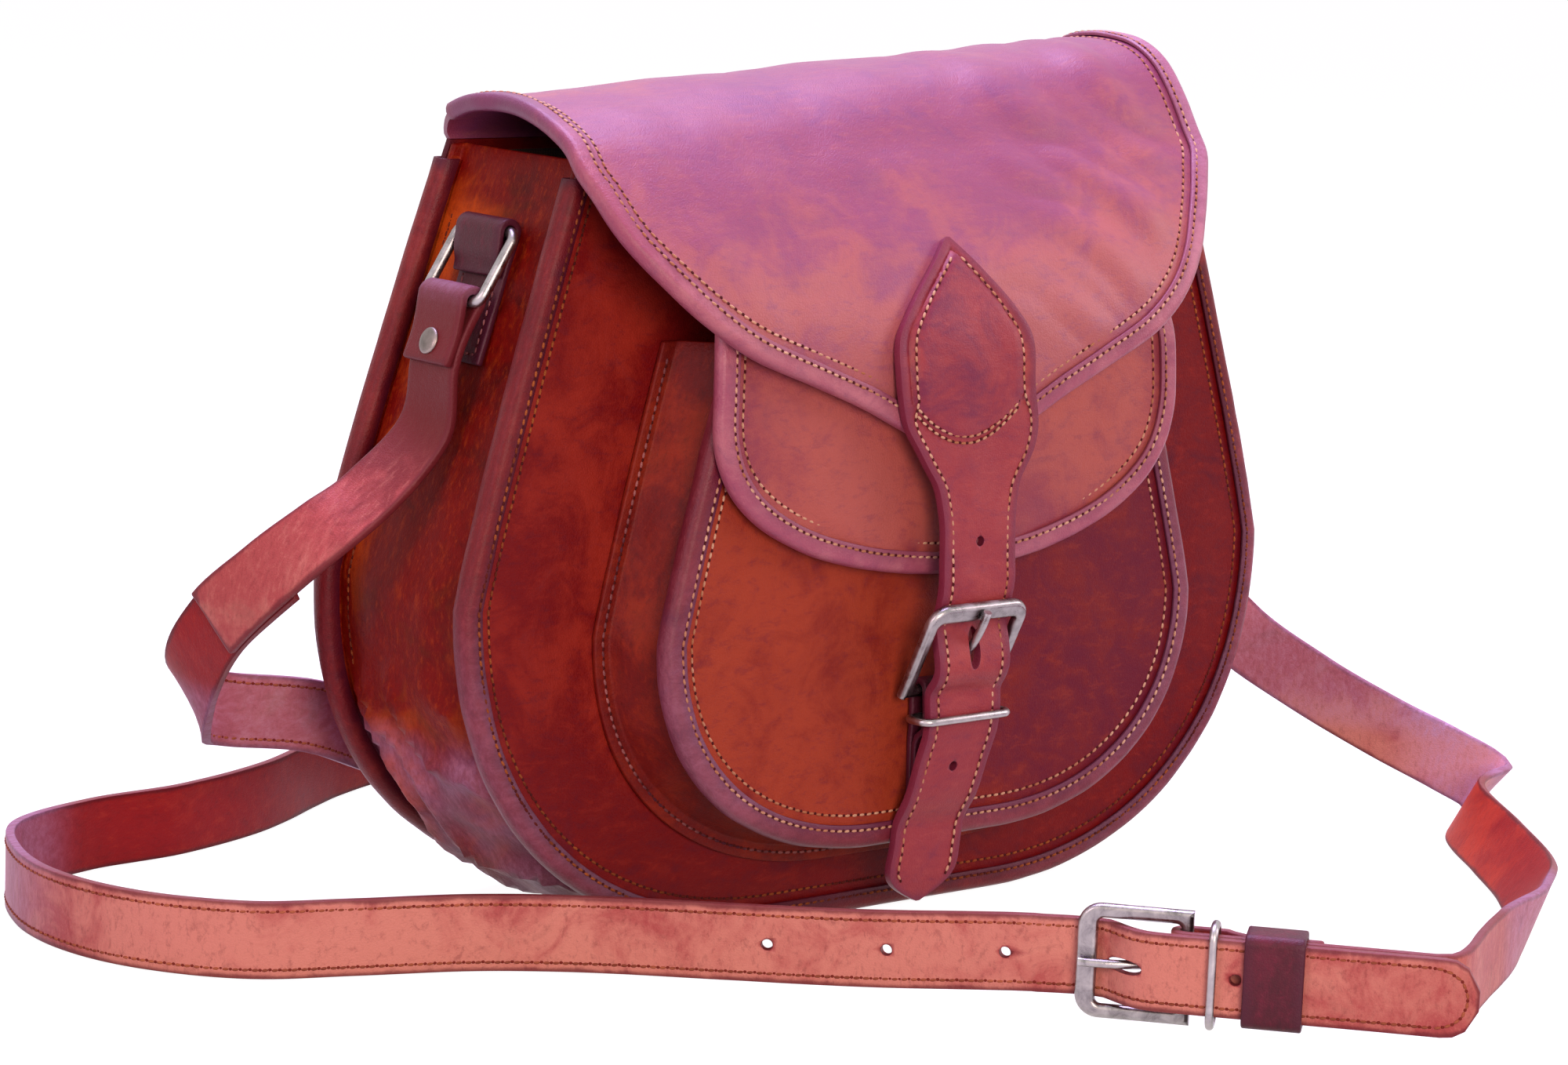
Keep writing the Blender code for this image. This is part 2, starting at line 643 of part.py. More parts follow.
def prong_line():
    """Wire wrapped round the hinge bar, then along under the strap and up over the outer bar."""
    loop = BAR_RADIUS + GAP + PRONG_WIRE / 2
    points = []
    for step in range(11):
        angle = math.radians(75 + 270 * step / 10)
        points.append((0.0, loop * math.cos(angle), loop * math.sin(angle)))
    rise_shares = ((0.30, 0.08), (0.42, 0.30), (0.56, 0.58), (0.70, 0.85), (0.85, 1.0), (1.0, 1.04))
    for along, rise in rise_shares:
        points.append((0.0, along * BUCKLE_LENGTH, rise * loop))
    points.append((0.0, BUCKLE_LENGTH + PRONG_REACH, loop))
    return points


def hairpin_points(length, thickness, end_front, end_back):
    """Leather folded round a hinge bar: (along, out) points from the front end to the back end."""
    middle = BAR_RADIUS + GAP + thickness / 2
    points = [(-length, end_front), (-HAIRPIN_CLOSED, end_front), (-HAIRPIN_OPEN, middle)]
    for step in range(9):
        angle = math.pi / 2 - math.pi * step / 8
        points.append((middle * math.cos(angle), middle * math.sin(angle)))
    points += [(-HAIRPIN_OPEN, -middle), (-HAIRPIN_CLOSED, end_back), (-length, end_back)]
    return points


def make_closure_hardware():
    """Chape sewn on the pocket front, with the buckle and the wire keeper that it holds."""
    middle = BAR_RADIUS + GAP + TAB_LEATHER / 2
    lying = CLOSURE_BACKING - TAB_LEATHER / 2 - GAP
    line = hairpin_points(CHAPE_LENGTH, TAB_LEATHER, TAB_LEATHER + GAP - lying, -lying)
    half = CHAPE_WIDTH / 2
    rows = [[Vector((side * half, along, out)) for side in (-1, 1)] for along, out in line]
    chape = sheet("closure_chape", rows, TAB_LEATHER, DARK, CLOSURE_SEAT)
    reach = (middle + TAB_LEATHER) * 2
    cut(chape, [slot("chape_slot", PRONG_WIRE * 1.6, reach, reach, Matrix.Identity(4), CLOSURE_SEAT)])
    buckle_frame("closure_buckle_frame", CLOSURE_WIDTH, Matrix.Identity(4), CLOSURE_FRAME)
    wire("closure_buckle_prong", prong_line(), PRONG_WIRE, METAL, CLOSURE_FRAME)
    top = BAR_RADIUS + GAP * 4 + PRONG_WIRE + STRAP_LEATHER + KEEPER_WIRE / 2
    wire_keeper("closure_wire_keeper", CLOSURE_WIDTH, top, CLOSURE_SEAT)


def wire_keeper(name, strap_width, top, parent):
    side = strap_width / 2 + GAP * 5 + KEEPER_WIRE / 2
    loop = rounded_rectangle(-side, side, 0.0, top, KEEPER_CORNER)
    points = [(x, -KEEPER_SETBACK, out) for x, out in loop]
    return wire(name, points, KEEPER_WIRE, METAL, parent, closed=True)


def make_closure_strap(flap_line):
    """Strap sewn on the flap by its teardrop end, threaded through the buckle."""
    centre = [point for point in flap_line if point.z < CLOSURE_TOP and point.y < 0][::2]
    path = []
    count = len(centre)
    for index, point in enumerate(centre):
        run = centre[min(index + 1, count - 1)] - centre[max(index - 1, 0)]
        away = Vector((0.0, run.z, -run.y)).normalized()
        away = away if away.y < 0 else -away
        lift = FLAP_LEATHER / 2 + GAP + STRAP_LEATHER / 2
        lift += (BINDING_STACK + GAP) * min(1.0, index / (count - 1) * 1.8)
        path.append(point + away * lift)
    bar = BAR_RADIUS + GAP + STRAP_LEATHER / 2
    over = BAR_RADIUS + GAP * 3 + PRONG_WIRE + STRAP_LEATHER / 2
    frame_shares = ((1.58, -2.80), (1.29, -1.50), (1.05, -1.0), (0.84, -0.72))
    for along, out in frame_shares:
        path.append(CLOSURE_FRAME.matrix_world @ Vector((0.0, along * BUCKLE_LENGTH, out * bar)))
    over_shares = ((0.50, 0.76), (0.32, 0.97))
    for along, out in over_shares:
        path.append(CLOSURE_FRAME.matrix_world @ Vector((0.0, along * BUCKLE_LENGTH, out * over)))
    seat = CLOSURE_SEAT.matrix_world
    path.append(seat @ Vector((0.0, 0.0, over)))
    path.append(seat @ Vector((0.0, -KEEPER_SETBACK, over)))
    rest = BINDING_STACK + GAP * 2 + STRAP_LEATHER / 2 - CLOSURE_BACKING
    on_chape = TAB_LEATHER * 2 + GAP * 4 + STRAP_LEATHER / 2 - CLOSURE_BACKING
    path.append(seat @ Vector((0.0, -CHAPE_LENGTH * 0.62, (over + on_chape) / 2)))
    path.append(seat @ Vector((0.0, -CHAPE_LENGTH, on_chape)))
    path.append(seat @ Vector((0.0, -CHAPE_LENGTH * 1.25, rest)))
    path.append(seat @ Vector((0.0, -CHAPE_LENGTH * 1.5, rest)))
    path.append(seat @ Vector((0.0, CLOSURE_END - CLOSURE_HINGE_HEIGHT, rest)))
    line = smooth_line(path, [8] * len(path))
    lengths = [0.0]
    for start, end in zip(line, line[1:]):
        lengths.append(lengths[-1] + (end - start).length)
    whole = lengths[-1]
    tail = whole * CLOSURE_TAIL_SHARE
    rows = []
    steps = 58
    for step in range(steps + 1):
        place = whole * step / steps
        index = max(i for i, length in enumerate(lengths[:-1]) if length <= place)
        run = line[index + 1] - line[index]
        point = line[index] + run * ((place - lengths[index]) / run.length)
        share = place / whole
        if share < TEARDROP_SHARES[-1][0]:
            half = between(TEARDROP_SHARES, share)[1] * TEARDROP_WIDTH / 2
        else:
            half = CLOSURE_WIDTH / 2
        drift = 0.0
        if place > whole - tail:
            half = between(TAIL_SHARES, (place - whole + tail) / tail)[1] * CLOSURE_WIDTH / 2
            drift = -(place - whole + tail) * math.sin(CLOSURE_LEAN_ANGLE)
        rows.append([Vector((drift + side * half, point.y, point.z)) for side in (-1, 0, 1)])
    item = sheet("closure_strap", rows, STRAP_LEATHER, FLAP, None)
    thick = STRAP_LEATHER * 4
    cutters = [punch("prong_hole", HOLE, PRONG_SLOT, thick * 1.5,
                     Matrix.Translation((0.0, BUCKLE_LENGTH * 0.63, 0.0)), CLOSURE_FRAME)]
    hinge_place = [i for i, row in enumerate(rows) if row[1].z < CLOSURE_HINGE_HEIGHT][0]
    for number, offset in enumerate((-2, 1)):
        index = hinge_place + round((offset * HOLE_PITCH + BUCKLE_LENGTH * -0.1) / (whole / steps))
        before, after = rows[index - 1][1], rows[index + 1][1]
        along = (after - before).normalized()
        out = Vector((1.0, 0.0, 0.0)).cross(along).normalized()
        side = along.cross(out)
        place = axes(rows[index][1], side, along, out)
        cutters.append(punch("closure_hole_%d" % number, HOLE, HOLE, thick, place))
    cut(item, cutters)


def wall_slope():
    """Angle at which the gusset falls away under the tabs."""
    return math.atan((gusset_face(TAB_HEIGHT - TAB_PATCH) - gusset_face(TAB_HEIGHT)) / TAB_PATCH)


def ring_places(side):
    """Bar that the tab holds and bar that the strap hangs on, as (x, z) on one side of the bag."""
    inner = RING_WIRE / 2 + GAP
    lean = wall_slope() + RING_STAND_OFF
    bar_x = gusset_face(TAB_HEIGHT) + GAP + TAB_LEATHER + inner
    low_x = bar_x + RING_HEIGHT * math.sin(lean)
    low_z = TAB_HEIGHT - RING_HEIGHT * math.cos(lean)
    return (side * bar_x, TAB_HEIGHT), (side * low_x, low_z)


def make_side(side, name):
    """Sewn tab, wire ring and strap rivet on one side."""
    (bar_x, bar_z), (low_x, low_z) = ring_places(side)
    radius = RING_WIRE / 2 + GAP + TAB_LEATHER / 2
    points = []
    for step in range(6):
        height = bar_z - TAB_PATCH + (TAB_PATCH - radius * 1.5) * step / 5
        points.append((side * (gusset_face(height) + GAP + TAB_LEATHER / 2), height))
    for step in range(9):
        angle = math.pi - math.pi * step / 8
        points.append((bar_x + side * radius * math.cos(angle), bar_z + radius * math.sin(angle)))
    for drop, gap_share in ((0.45, 0.65), (0.75, 0.18), (1.0, 0.05)):
        height = bar_z - TAB_FRONT * drop
        base = gusset_face(height) + GAP * 2 + TAB_LEATHER * 1.5
        points.append((side * (base + (radius * 2 - TAB_LEATHER - GAP) * gap_share), height))
    half = TAB_WIDTH / 2
    rows = [[Vector((x, y, z)) for y in (-half, half)] for x, z in points]
    sheet(name + "_tab", rows, TAB_LEATHER, DARK)
    along = Vector((low_x - bar_x, 0.0, low_z - bar_z)).normalized()
    across = Vector((0.0, 1.0, 0.0))
    place = axes(Vector((bar_x, 0.0, bar_z)), across, along, across.cross(along))
    hinge = frame(name + "_ring_hinge", place)
    loop = rounded_rectangle(-RING_WIDTH / 2, RING_WIDTH / 2, 0.0, RING_HEIGHT, RING_CORNER)
    wire(name + "_ring", [(x, y, 0.0) for x, y in loop], RING_WIRE, METAL, hinge, closed=True)


def strap_end(side):
    """Strap folded up over the ring: points from its riveted short end to the hanging run."""
    bar, low = ring_places(side)
    centre = Vector((low[0], 0.0, low[1]))
    slope = wall_slope() + STRAP_STAND_OFF
    hang = Vector((side * math.sin(slope), 0.0, -math.cos(slope)))
    away = Vector((side * math.cos(slope), 0.0, math.sin(slope)))
    loop = RING_WIRE / 2 + GAP + STRAP_LEATHER / 2
    lying = (STRAP_LEATHER + GAP) / 2
    outer = [(STRAP_END_FOLD, lying), (STRAP_END_FOLD / 2, lying)]
    points = [centre + hang * down + away * out for down, out in outer]
    for step in range(9):
        angle = math.pi * step / 8
        points.append(centre + away * loop * math.cos(angle) - hang * loop * math.sin(angle))
    inner = [(STRAP_END_FOLD / 2, -lying), (STRAP_END_FOLD, -lying)]
    points += [centre + hang * down + away * out for down, out in inner]
    rivet = centre + hang * STRAP_RIVET_DROP
    return points, axes(rivet, hang.cross(away), hang, away)


def rivet(name, place, stack):
    """Double-capped rivet: two shallow domes on one shank."""
    half = stack / 2 + GAP
    foot = -half - RIVET_DOME * 0.4
    head = RIVET_HEAD / 2
    shank = RIVET_SHANK / 2
    profile = (
        (0.0, half + RIVET_DOME), (head * 0.6, half + RIVET_DOME * 0.8), (head, half + RIVET_DOME * 0.25),
        (head, half), (shank, half), (shank, -half), (head, -half), (head, foot), (0.0, foot),
    )
    mesh = bpy.data.meshes.new(name)
    points = [(x, 0.0, z) for x, z in profile]
    mesh.from_pydata(points, [(i, i + 1) for i in range(len(points) - 1)], [])
    item = add(name, mesh, METAL, None, place)
    turn = item.modifiers.new("Turn", "SCREW")
    turn.axis = "Z"
    turn.steps = 16
    turn.render_steps = 16
    turn.use_merge_vertices = True
    turn.merge_threshold = WELD
    return item


def route_points(shares):
    points = []
    for x, y, edge, wx, wy, wz in shares:
        across = Vector((wx, wy, wz)).normalized()
        lower = edge * BODY_HEIGHT + FLOOR_CLEARANCE
        z = lower + STRAP_WIDTH / 2 * abs(across.z) + STRAP_LEATHER / 2 * math.hypot(across.x, across.y)
        points.append((Vector((x * HALF_BODY, y * HALF_BODY, z)), across))
    return points


def stations(points):
    """Stations along a strap: place, direction, across and outward directions."""
    spans = spans_of([point for point, across in points], STRAP_STEP)
    places = smooth_line([point for point, across in points], spans)
    widths = smooth_line([across for point, across in points], spans)
    run = []
    last = len(places) - 1
    for index, place in enumerate(places):
        along = (places[min(index + 1, last)] - places[max(index - 1, 0)]).normalized()
        across = (widths[index] - along * widths[index].dot(along)).normalized()
        run.append((place, along, across, across.cross(along).normalized()))
    return run


def place_on(run, distance):
    """Placement on a strap at a distance from its first station, with +Z outwards."""
    for (start, along, across, out), (end, *rest) in zip(run, run[1:]):
        length = (end - start).length
        if distance <= length:
            return axes(start.lerp(end, distance / length), across, along, across.cross(along))
        distance -= length
    raise ValueError("past the end of the strap")


def distance_to(run, spot):
    """Distance along a strap to the point nearest to a spot."""
    best = (math.inf, 0.0)
    travelled = 0.0
    for (start, along, across, out), (end, *rest) in zip(run, run[1:]):
        line = end - start
        part = min(max((spot - start).dot(line) / line.length_squared, 0.0), 1.0)
        best = min(best, ((spot - start - line * part).length, travelled + line.length * part))
        travelled += line.length
    return best[1]


def ribbon_rows(run, width, tip=0.0):
    """Rows of a strap. A tip rounds the end over that length."""
    rows = []
    left = 0.0
    remaining = [0.0]
    for start, end in zip(reversed(run), list(reversed(run))[1:]):
        left += (start[0] - end[0]).length
        remaining.append(left)
    remaining.reverse()
    for (place, along, across, out), rest in zip(run, remaining):
        half = width / 2
        if rest < tip:
            share = 1 - rest / tip
            half *= max(math.sqrt(max(1 - share ** 2.4, 0.0)), 0.25)
        rows.append([place - across * half, place + across * half])
    return rows


def make_shoulder_strap():
    """Three lengths of strap, from the left ring round to the buckle and on to the right ring."""
    down = Vector((0.0, -1.0, 0.0))
    left_end, left_rivet = strap_end(-1)
    right_end, right_rivet = strap_end(1)
    hinge = STRAP_SEAT.matrix_world
    flat = Vector((0.0, 0.0, -1.0))
    bar = BAR_RADIUS + GAP + STRAP_LEATHER / 2
    over = BAR_RADIUS + GAP * 3 + STRAP_LEATHER * 1.5 + PRONG_WIRE * 0.2
    left_points = [(point, down) for point in left_end] + route_points(LEFT_ROUTE_SHARES)
    buckle_run = ((1.85, -0.30), (1.55, -0.62), (1.24, -0.95), (1.0, -1.0), (0.84, -0.72))
    for along, out in buckle_run:
        left_points.append((hinge @ Vector((0.0, along * BUCKLE_LENGTH, out * bar)), flat))
    for along, out in ((0.66, 0.30), (0.50, 0.76), (0.32, 0.97), (0.0, 1.0), (-0.4, 1.0)):
        left_points.append((hinge @ Vector((0.0, along * BUCKLE_LENGTH, out * over)), flat))
    for share in (0.5, 0.75, 1.0):
        left_points.append((hinge @ Vector((0.0, -share * BILLET_END, over)), flat))
    run = stations(left_points)
    splice_point = route_points(LEFT_ROUTE_SHARES)[4][0]
    splice = min(range(len(run) // 2), key=lambda i: (run[i][0] - splice_point).length)
    end_piece = sheet("left_strap_end", ribbon_rows(run[:splice + 1], STRAP_WIDTH), STRAP_LEATHER, STRAP)
    start = splice
    while (run[start][0] - run[splice][0]).length < SPLICE_OVERLAP:
        start -= 1
    lower = []
    travelled = 0.0
    for index, (place, along, across, out) in enumerate(run[start:], start):
        travelled += (place - run[index - 1][0]).length
        sunk = 1 - min(max(travelled / SPLICE_OVERLAP - 2, 0.0), 1.0)
        lower.append((place + out * (STRAP_LEATHER + GAP) * sunk, along, across, out))
    rows = ribbon_rows(lower, STRAP_WIDTH, STRAP_WIDTH * 0.45)
    billet = sheet("billet_strap", rows, STRAP_LEATHER, STRAP)
    slot_share = 0.63
    cutters = [punch("billet_slot", HOLE, PRONG_SLOT, STRAP_LEATHER * 6,
                     Matrix.Translation((0.0, BUCKLE_LENGTH * slot_share, 0.0)), STRAP_SEAT)]
    prong_place = distance_to(run, hinge @ Vector((0.0, BUCKLE_LENGTH * slot_share, 0.0)))
    for number, pitch in enumerate((-3, -2, -1, 1)):
        place = place_on(run, prong_place + pitch * STRAP_HOLE_PITCH)
        cutters.append(punch("billet_hole_%d" % number, HOLE, HOLE, STRAP_LEATHER * 4, place))
    cut(billet, cutters)
    make_buckle_strap(right_end, hinge, bar, flat, down)
    stack = STRAP_LEATHER * 2 + GAP
    for name, place, item in (("left_strap_rivet", left_rivet, end_piece),
                              ("right_strap_rivet", right_rivet, bpy.data.objects["buckle_strap"])):
        rivet(name, place, stack)
        cut(item, [punch(name + "_hole", RIVET_SHANK + GAP * 2, RIVET_SHANK + GAP * 2, stack * 2, place)])
    make_strap_hardware(over)


def make_buckle_strap(right_end, hinge, bar, flat, down):
    """Length of strap that folds round the buckle's hinge bar and hangs from the right ring."""
    fold = hairpin_points(STRAP_FOLD_BACK, STRAP_LEATHER, bar, bar - STRAP_LEATHER - GAP)
    folded = [(hinge @ Vector((0.0, along, out)), flat) for along, out in fold]
    turn = [(along * BILLET_END, out * BILLET_END) for along, out in TURN_SHARES]
    turn += [(along * BILLET_END, bar) for along in STRAIGHT_SHARES]
    right_points = [(point, down) for point in right_end] + route_points(RIGHT_ROUTE_SHARES)
    right_points += [(hinge @ Vector((0.0, -along, out)), flat) for along, out in turn] + folded
    rows = ribbon_rows(stations(right_points), STRAP_WIDTH)
    item = sheet("buckle_strap", rows, STRAP_LEATHER, STRAP)
    reach = (bar + STRAP_LEATHER) * 2
    cut(item, [slot("strap_slot", PRONG_WIRE * 1.6, reach, reach, Matrix.Identity(4), STRAP_SEAT)])


def make_strap_hardware(over):
    buckle_frame("strap_buckle_frame", STRAP_WIDTH, Matrix.Identity(4), STRAP_SEAT)
    wire("strap_buckle_prong", prong_line(), PRONG_WIRE, METAL, STRAP_SEAT)
    top = over + STRAP_LEATHER / 2 + GAP + KEEPER_WIRE / 2
    wire_keeper("strap_wire_keeper", STRAP_WIDTH, top, STRAP_SEAT)
    low = BAR_RADIUS - STRAP_LEATHER - GAP
    high = over + STRAP_LEATHER / 2 + GAP
    half = STRAP_WIDTH / 2 + GAP
    wall = LEATHER_KEEPER_WALL
    inner = rounded_rectangle(-half, half, low, high, wall / 3, 2)
    outer = rounded_rectangle(-half - wall, half + wall, low - wall, high + wall, wall, 2)
    place = Matrix.Translation((0.0, -LEATHER_KEEPER_PLACE, 0.0)) @ Matrix.Rotation(math.pi / 2, 4, "X")
    plate("strap_leather_keeper", [outer, inner], LEATHER_KEEPER_WIDTH, DARK, STRAP_SEAT, place)


clear_scene()
PARTS = collection("leather_sling_bag")
CUTTERS = collection("cutters")

PANEL = finish("panel leather", (0.23, 0.024, 0.012), 0.42)
GUSSET = finish("gusset leather", (0.30, 0.045, 0.015), 0.45)
POCKET = finish("pocket leather", (0.33, 0.050, 0.018), 0.42)
FLAP = finish("flap leather", (0.36, 0.075, 0.062), 0.38)
EDGE = finish("binding leather", (0.24, 0.045, 0.050), 0.40)
DARK = finish("dark tab leather", (0.075, 0.010, 0.012), 0.45)
STRAP = finish("strap leather", (0.50, 0.155, 0.085), 0.45)
CLOTH = finish("lining cloth", (0.16, 0.10, 0.06), 0.90)
METAL = finish("satin nickel", (0.50, 0.46, 0.44), 0.32, 1.0)

BACK_FACE = half_depth(BODY_HEIGHT) + PANEL_LEATHER
FOLD_HEIGHT = BODY_HEIGHT + FLOOR_CLEARANCE + GAP * 2
POCKET_FOLD = PANEL_LEATHER + GAP
front_foot = Vector((0.0, -BASE_DEPTH / 2, FLOOR_CLEARANCE))
back_foot = Vector((0.0, BASE_DEPTH / 2, FLOOR_CLEARANCE))
FRONT = frame("front_frame", Matrix.Translation(front_foot) @ Matrix.Rotation(-LEAN, 4, "X"))
BACK = frame("back_frame", Matrix.Translation(back_foot) @ Matrix.Rotation(LEAN, 4, "X"))
FLAP_HINGE = frame("flap_hinge", Matrix.Translation((0.0, BACK_FACE, FOLD_HEIGHT)))
pocket_fold = Matrix.Translation((0.0, -POCKET_FOLD, POCKET_FLAP_TOP))
POCKET_FLAP_HINGE = frame("pocket_flap_hinge", pocket_fold, FRONT)
CLOSURE_BACKING = BAR_RADIUS + GAP * 2 + PRONG_WIRE
CLOSURE_OUT = POCKET_DEPTH + CLOSURE_BACKING
seat_place = Matrix.Translation((0.0, -PANEL_LEATHER - CLOSURE_OUT, CLOSURE_HINGE_HEIGHT))
CLOSURE_SEAT = frame("closure_seat", seat_place @ Matrix.Rotation(math.pi / 2, 4, "X"), FRONT)
CLOSURE_FRAME = frame("closure_hinge", Matrix.Rotation(CLOSURE_TILT, 4, "X"), CLOSURE_SEAT)
heading = Vector((*STRAP_HEADING_SHARES, 0.0)).normalized()
hinge_spot = Vector((STRAP_HINGE_SHARES[0] * HALF_BODY, STRAP_HINGE_SHARES[1] * HALF_BODY,
                     STRAP_LIFT + STRAP_WIDTH / 2))
outward_side = Vector((heading.y, -heading.x, 0.0))
STRAP_SEAT = frame("strap_hinge", axes(hinge_spot, Vector((0.0, 0.0, 1.0)), -heading, outward_side))
bpy.context.view_layer.update()

make_body()
make_pocket()
make_pocket_flap()
flap_shape = make_flap()
make_closure_hardware()
make_closure_strap(flap_shape)
make_side(-1, "left")
make_side(1, "right")
make_shoulder_strap()
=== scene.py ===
# %% [markdown]
# # A leather sling bag: dressing the model
#
# The CAD model gives every piece its size and place. Here each leather piece is made again as a fine,
# supple surface in the same place, then stitched, creased and coloured. The metal fittings are bent and
# cast again with softer edges. Everything is in metres, with +Z up and the front towards -Y.

# %%
import math

import bmesh
import bpy
from mathutils import Matrix, Vector, noise


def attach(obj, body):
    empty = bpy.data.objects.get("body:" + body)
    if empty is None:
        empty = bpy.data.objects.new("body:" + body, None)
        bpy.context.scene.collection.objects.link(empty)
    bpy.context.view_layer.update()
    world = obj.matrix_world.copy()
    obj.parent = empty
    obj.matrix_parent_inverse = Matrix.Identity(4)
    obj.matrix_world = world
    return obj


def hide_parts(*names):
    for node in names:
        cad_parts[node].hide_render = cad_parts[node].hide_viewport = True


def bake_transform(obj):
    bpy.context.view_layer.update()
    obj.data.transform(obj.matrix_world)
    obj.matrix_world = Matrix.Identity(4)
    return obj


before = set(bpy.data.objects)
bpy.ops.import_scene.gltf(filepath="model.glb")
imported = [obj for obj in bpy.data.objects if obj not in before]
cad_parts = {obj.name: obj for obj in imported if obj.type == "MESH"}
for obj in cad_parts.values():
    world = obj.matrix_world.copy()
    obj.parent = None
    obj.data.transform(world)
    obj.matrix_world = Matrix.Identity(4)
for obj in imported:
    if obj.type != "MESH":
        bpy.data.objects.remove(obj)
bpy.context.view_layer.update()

# %% [markdown]
# ## Sizes
#
# The same driving sizes as the CAD model, so that each new piece lands on the piece it stands for.

# %%
BODY_WIDTH, BODY_HEIGHT, MOUTH_WIDTH, WIDEST_HEIGHT = 0.280, 0.2065, 0.2124, 0.094
BASE_FLAT, BASE_DEPTH, MOUTH_DEPTH, GUSSET_CROWN, LINING_DROP = 0.076, 0.072, 0.058, 0.006, 0.002
POCKET_WIDTH, POCKET_MOUTH, POCKET_TOP, POCKET_RIM, POCKET_BOTTOM = 0.185, 0.140, 0.165, 0.160, 0.0235
POCKET_WIDEST, POCKET_BASE_FLAT, POCKET_DEPTH, POCKET_SPLAY, POCKET_FLANGE = 0.084, 0.040, 0.022, 0.002, 0.005
PANEL_LEATHER = GUSSET_LEATHER = FLAP_LEATHER = 0.0020
POCKET_LEATHER, TAB_LEATHER, STRAP_LEATHER, LINING_CLOTH = 0.0016, 0.0018, 0.0024, 0.0008
BINDING_LEATHER, BINDING_FACE, BINDING_INSET, SEAM_WIDTH, GAP = 0.0011, 0.0080, 0.0026, 0.0060, 0.0003
FLAP_WIDTH, FLAP_DROP, FLAP_RISE, FLAP_FRONT = 0.222, 0.073, 0.0160, 0.0646
POCKET_FLAP_WIDTH, POCKET_FLAP_TOP, POCKET_FLAP_DROP = 0.160, 0.176, 0.077
CLOSURE_WIDTH, CLOSURE_LENGTH, CLOSURE_TOP, TEARDROP_WIDTH = 0.0246, 0.183, 0.187, 0.047
CLOSURE_LEAN_ANGLE, CLOSURE_TILT, CLOSURE_HINGE_HEIGHT = math.radians(11), math.radians(28), 0.0655
CHAPE_WIDTH, CHAPE_LENGTH = 0.0220, 0.029
BAR, BUCKLE_LENGTH, BUCKLE_CORNER, OUTER_BAR_EXTRA = 0.0030, 0.024, 0.006, 0.0022
BUCKLE_SIDE_PLAY, SIDE_BAR, PRONG_WIRE, KEEPER_WIRE, KEEPER_SETBACK = 0.0012, 0.0036, 0.0023, 0.0022, 0.0072
KEEPER_CORNER, HAIRPIN_OPEN, HAIRPIN_CLOSED, PRONG_REACH = 0.003, 0.0098, 0.0145, 0.0028
HOLE, PRONG_SLOT, HOLE_PITCH = 0.0034, 0.0074, 0.0213
RING_WIRE, RING_WIDTH, RING_HEIGHT, RING_CORNER, RING_LEAN = 0.0030, 0.0250, 0.0205, 0.003, math.radians(32)
TAB_HEIGHT, TAB_WIDTH, TAB_PATCH, TAB_FRONT = 0.187, 0.0200, 0.034, 0.0115
RIVET_HEAD, RIVET_DOME = 0.0072, 0.0012
STRAP_WIDTH, STRAP_END_FOLD, STRAP_RIVET_DROP, STRAP_HANG = 0.0200, 0.018, 0.0125, math.radians(20)
SPLICE_OVERLAP, STRAP_FOLD_BACK, STRAP_HOLE_PITCH, BILLET_END, STRAP_LIFT = 0.025, 0.034, 0.031, 0.073, 0.0053
LEATHER_KEEPER_WIDTH, LEATHER_KEEPER_PLACE, LEATHER_KEEPER_WALL = 0.0150, 0.0225, 0.0018
FLOOR_CLEARANCE = 0.0003
LOWER_ROUND_SHARE, SIDE_TAPER_SHARE = 0.909, 1.1
HALF_BODY, BAR_RADIUS, BINDING_STACK = BODY_WIDTH / 2, BAR / 2, GAP + BINDING_LEATHER
LEAN = math.atan((BASE_DEPTH - MOUTH_DEPTH) / 2 / BODY_HEIGHT)

# Where the used bag differs from the CAD: narrower rolled edges, a lining that hangs clear of the
# panels, the head of the closure strap a little to the left, and holes worn wider.
BODY_BINDING_FACE, POCKET_BINDING_FACE, FLAP_BINDING_FACE, TIP_ROUNDINGS = 0.0060, 0.0066, 0.0062, 6
LINING_PLAY, HEAD_SHIFT, SLOT_SHARE = 0.0016, -0.0045, 0.63
SLOT_WIDTH, SLOT_LENGTH, SLOT_DEPTH = HOLE * 1.1, PRONG_SLOT * 1.25, 0.014
SEAM_ON_EDGE, SEAM_ON_POCKET_EDGE, SEAM_BESIDE_EDGE, TAB_SEAM_INSET = 0.0014, 0.0015, 0.0024, 0.0025
FLAP_SEAM_INSETS = (0.0048, 0.0084)

# How finely the pieces are cut: points along and across each flap, and the step of a folded line.
FLAP_CUTS, SMALL_FLAP_CUTS, LINE_STEP = (120, 60), (90, 48), 0.0016

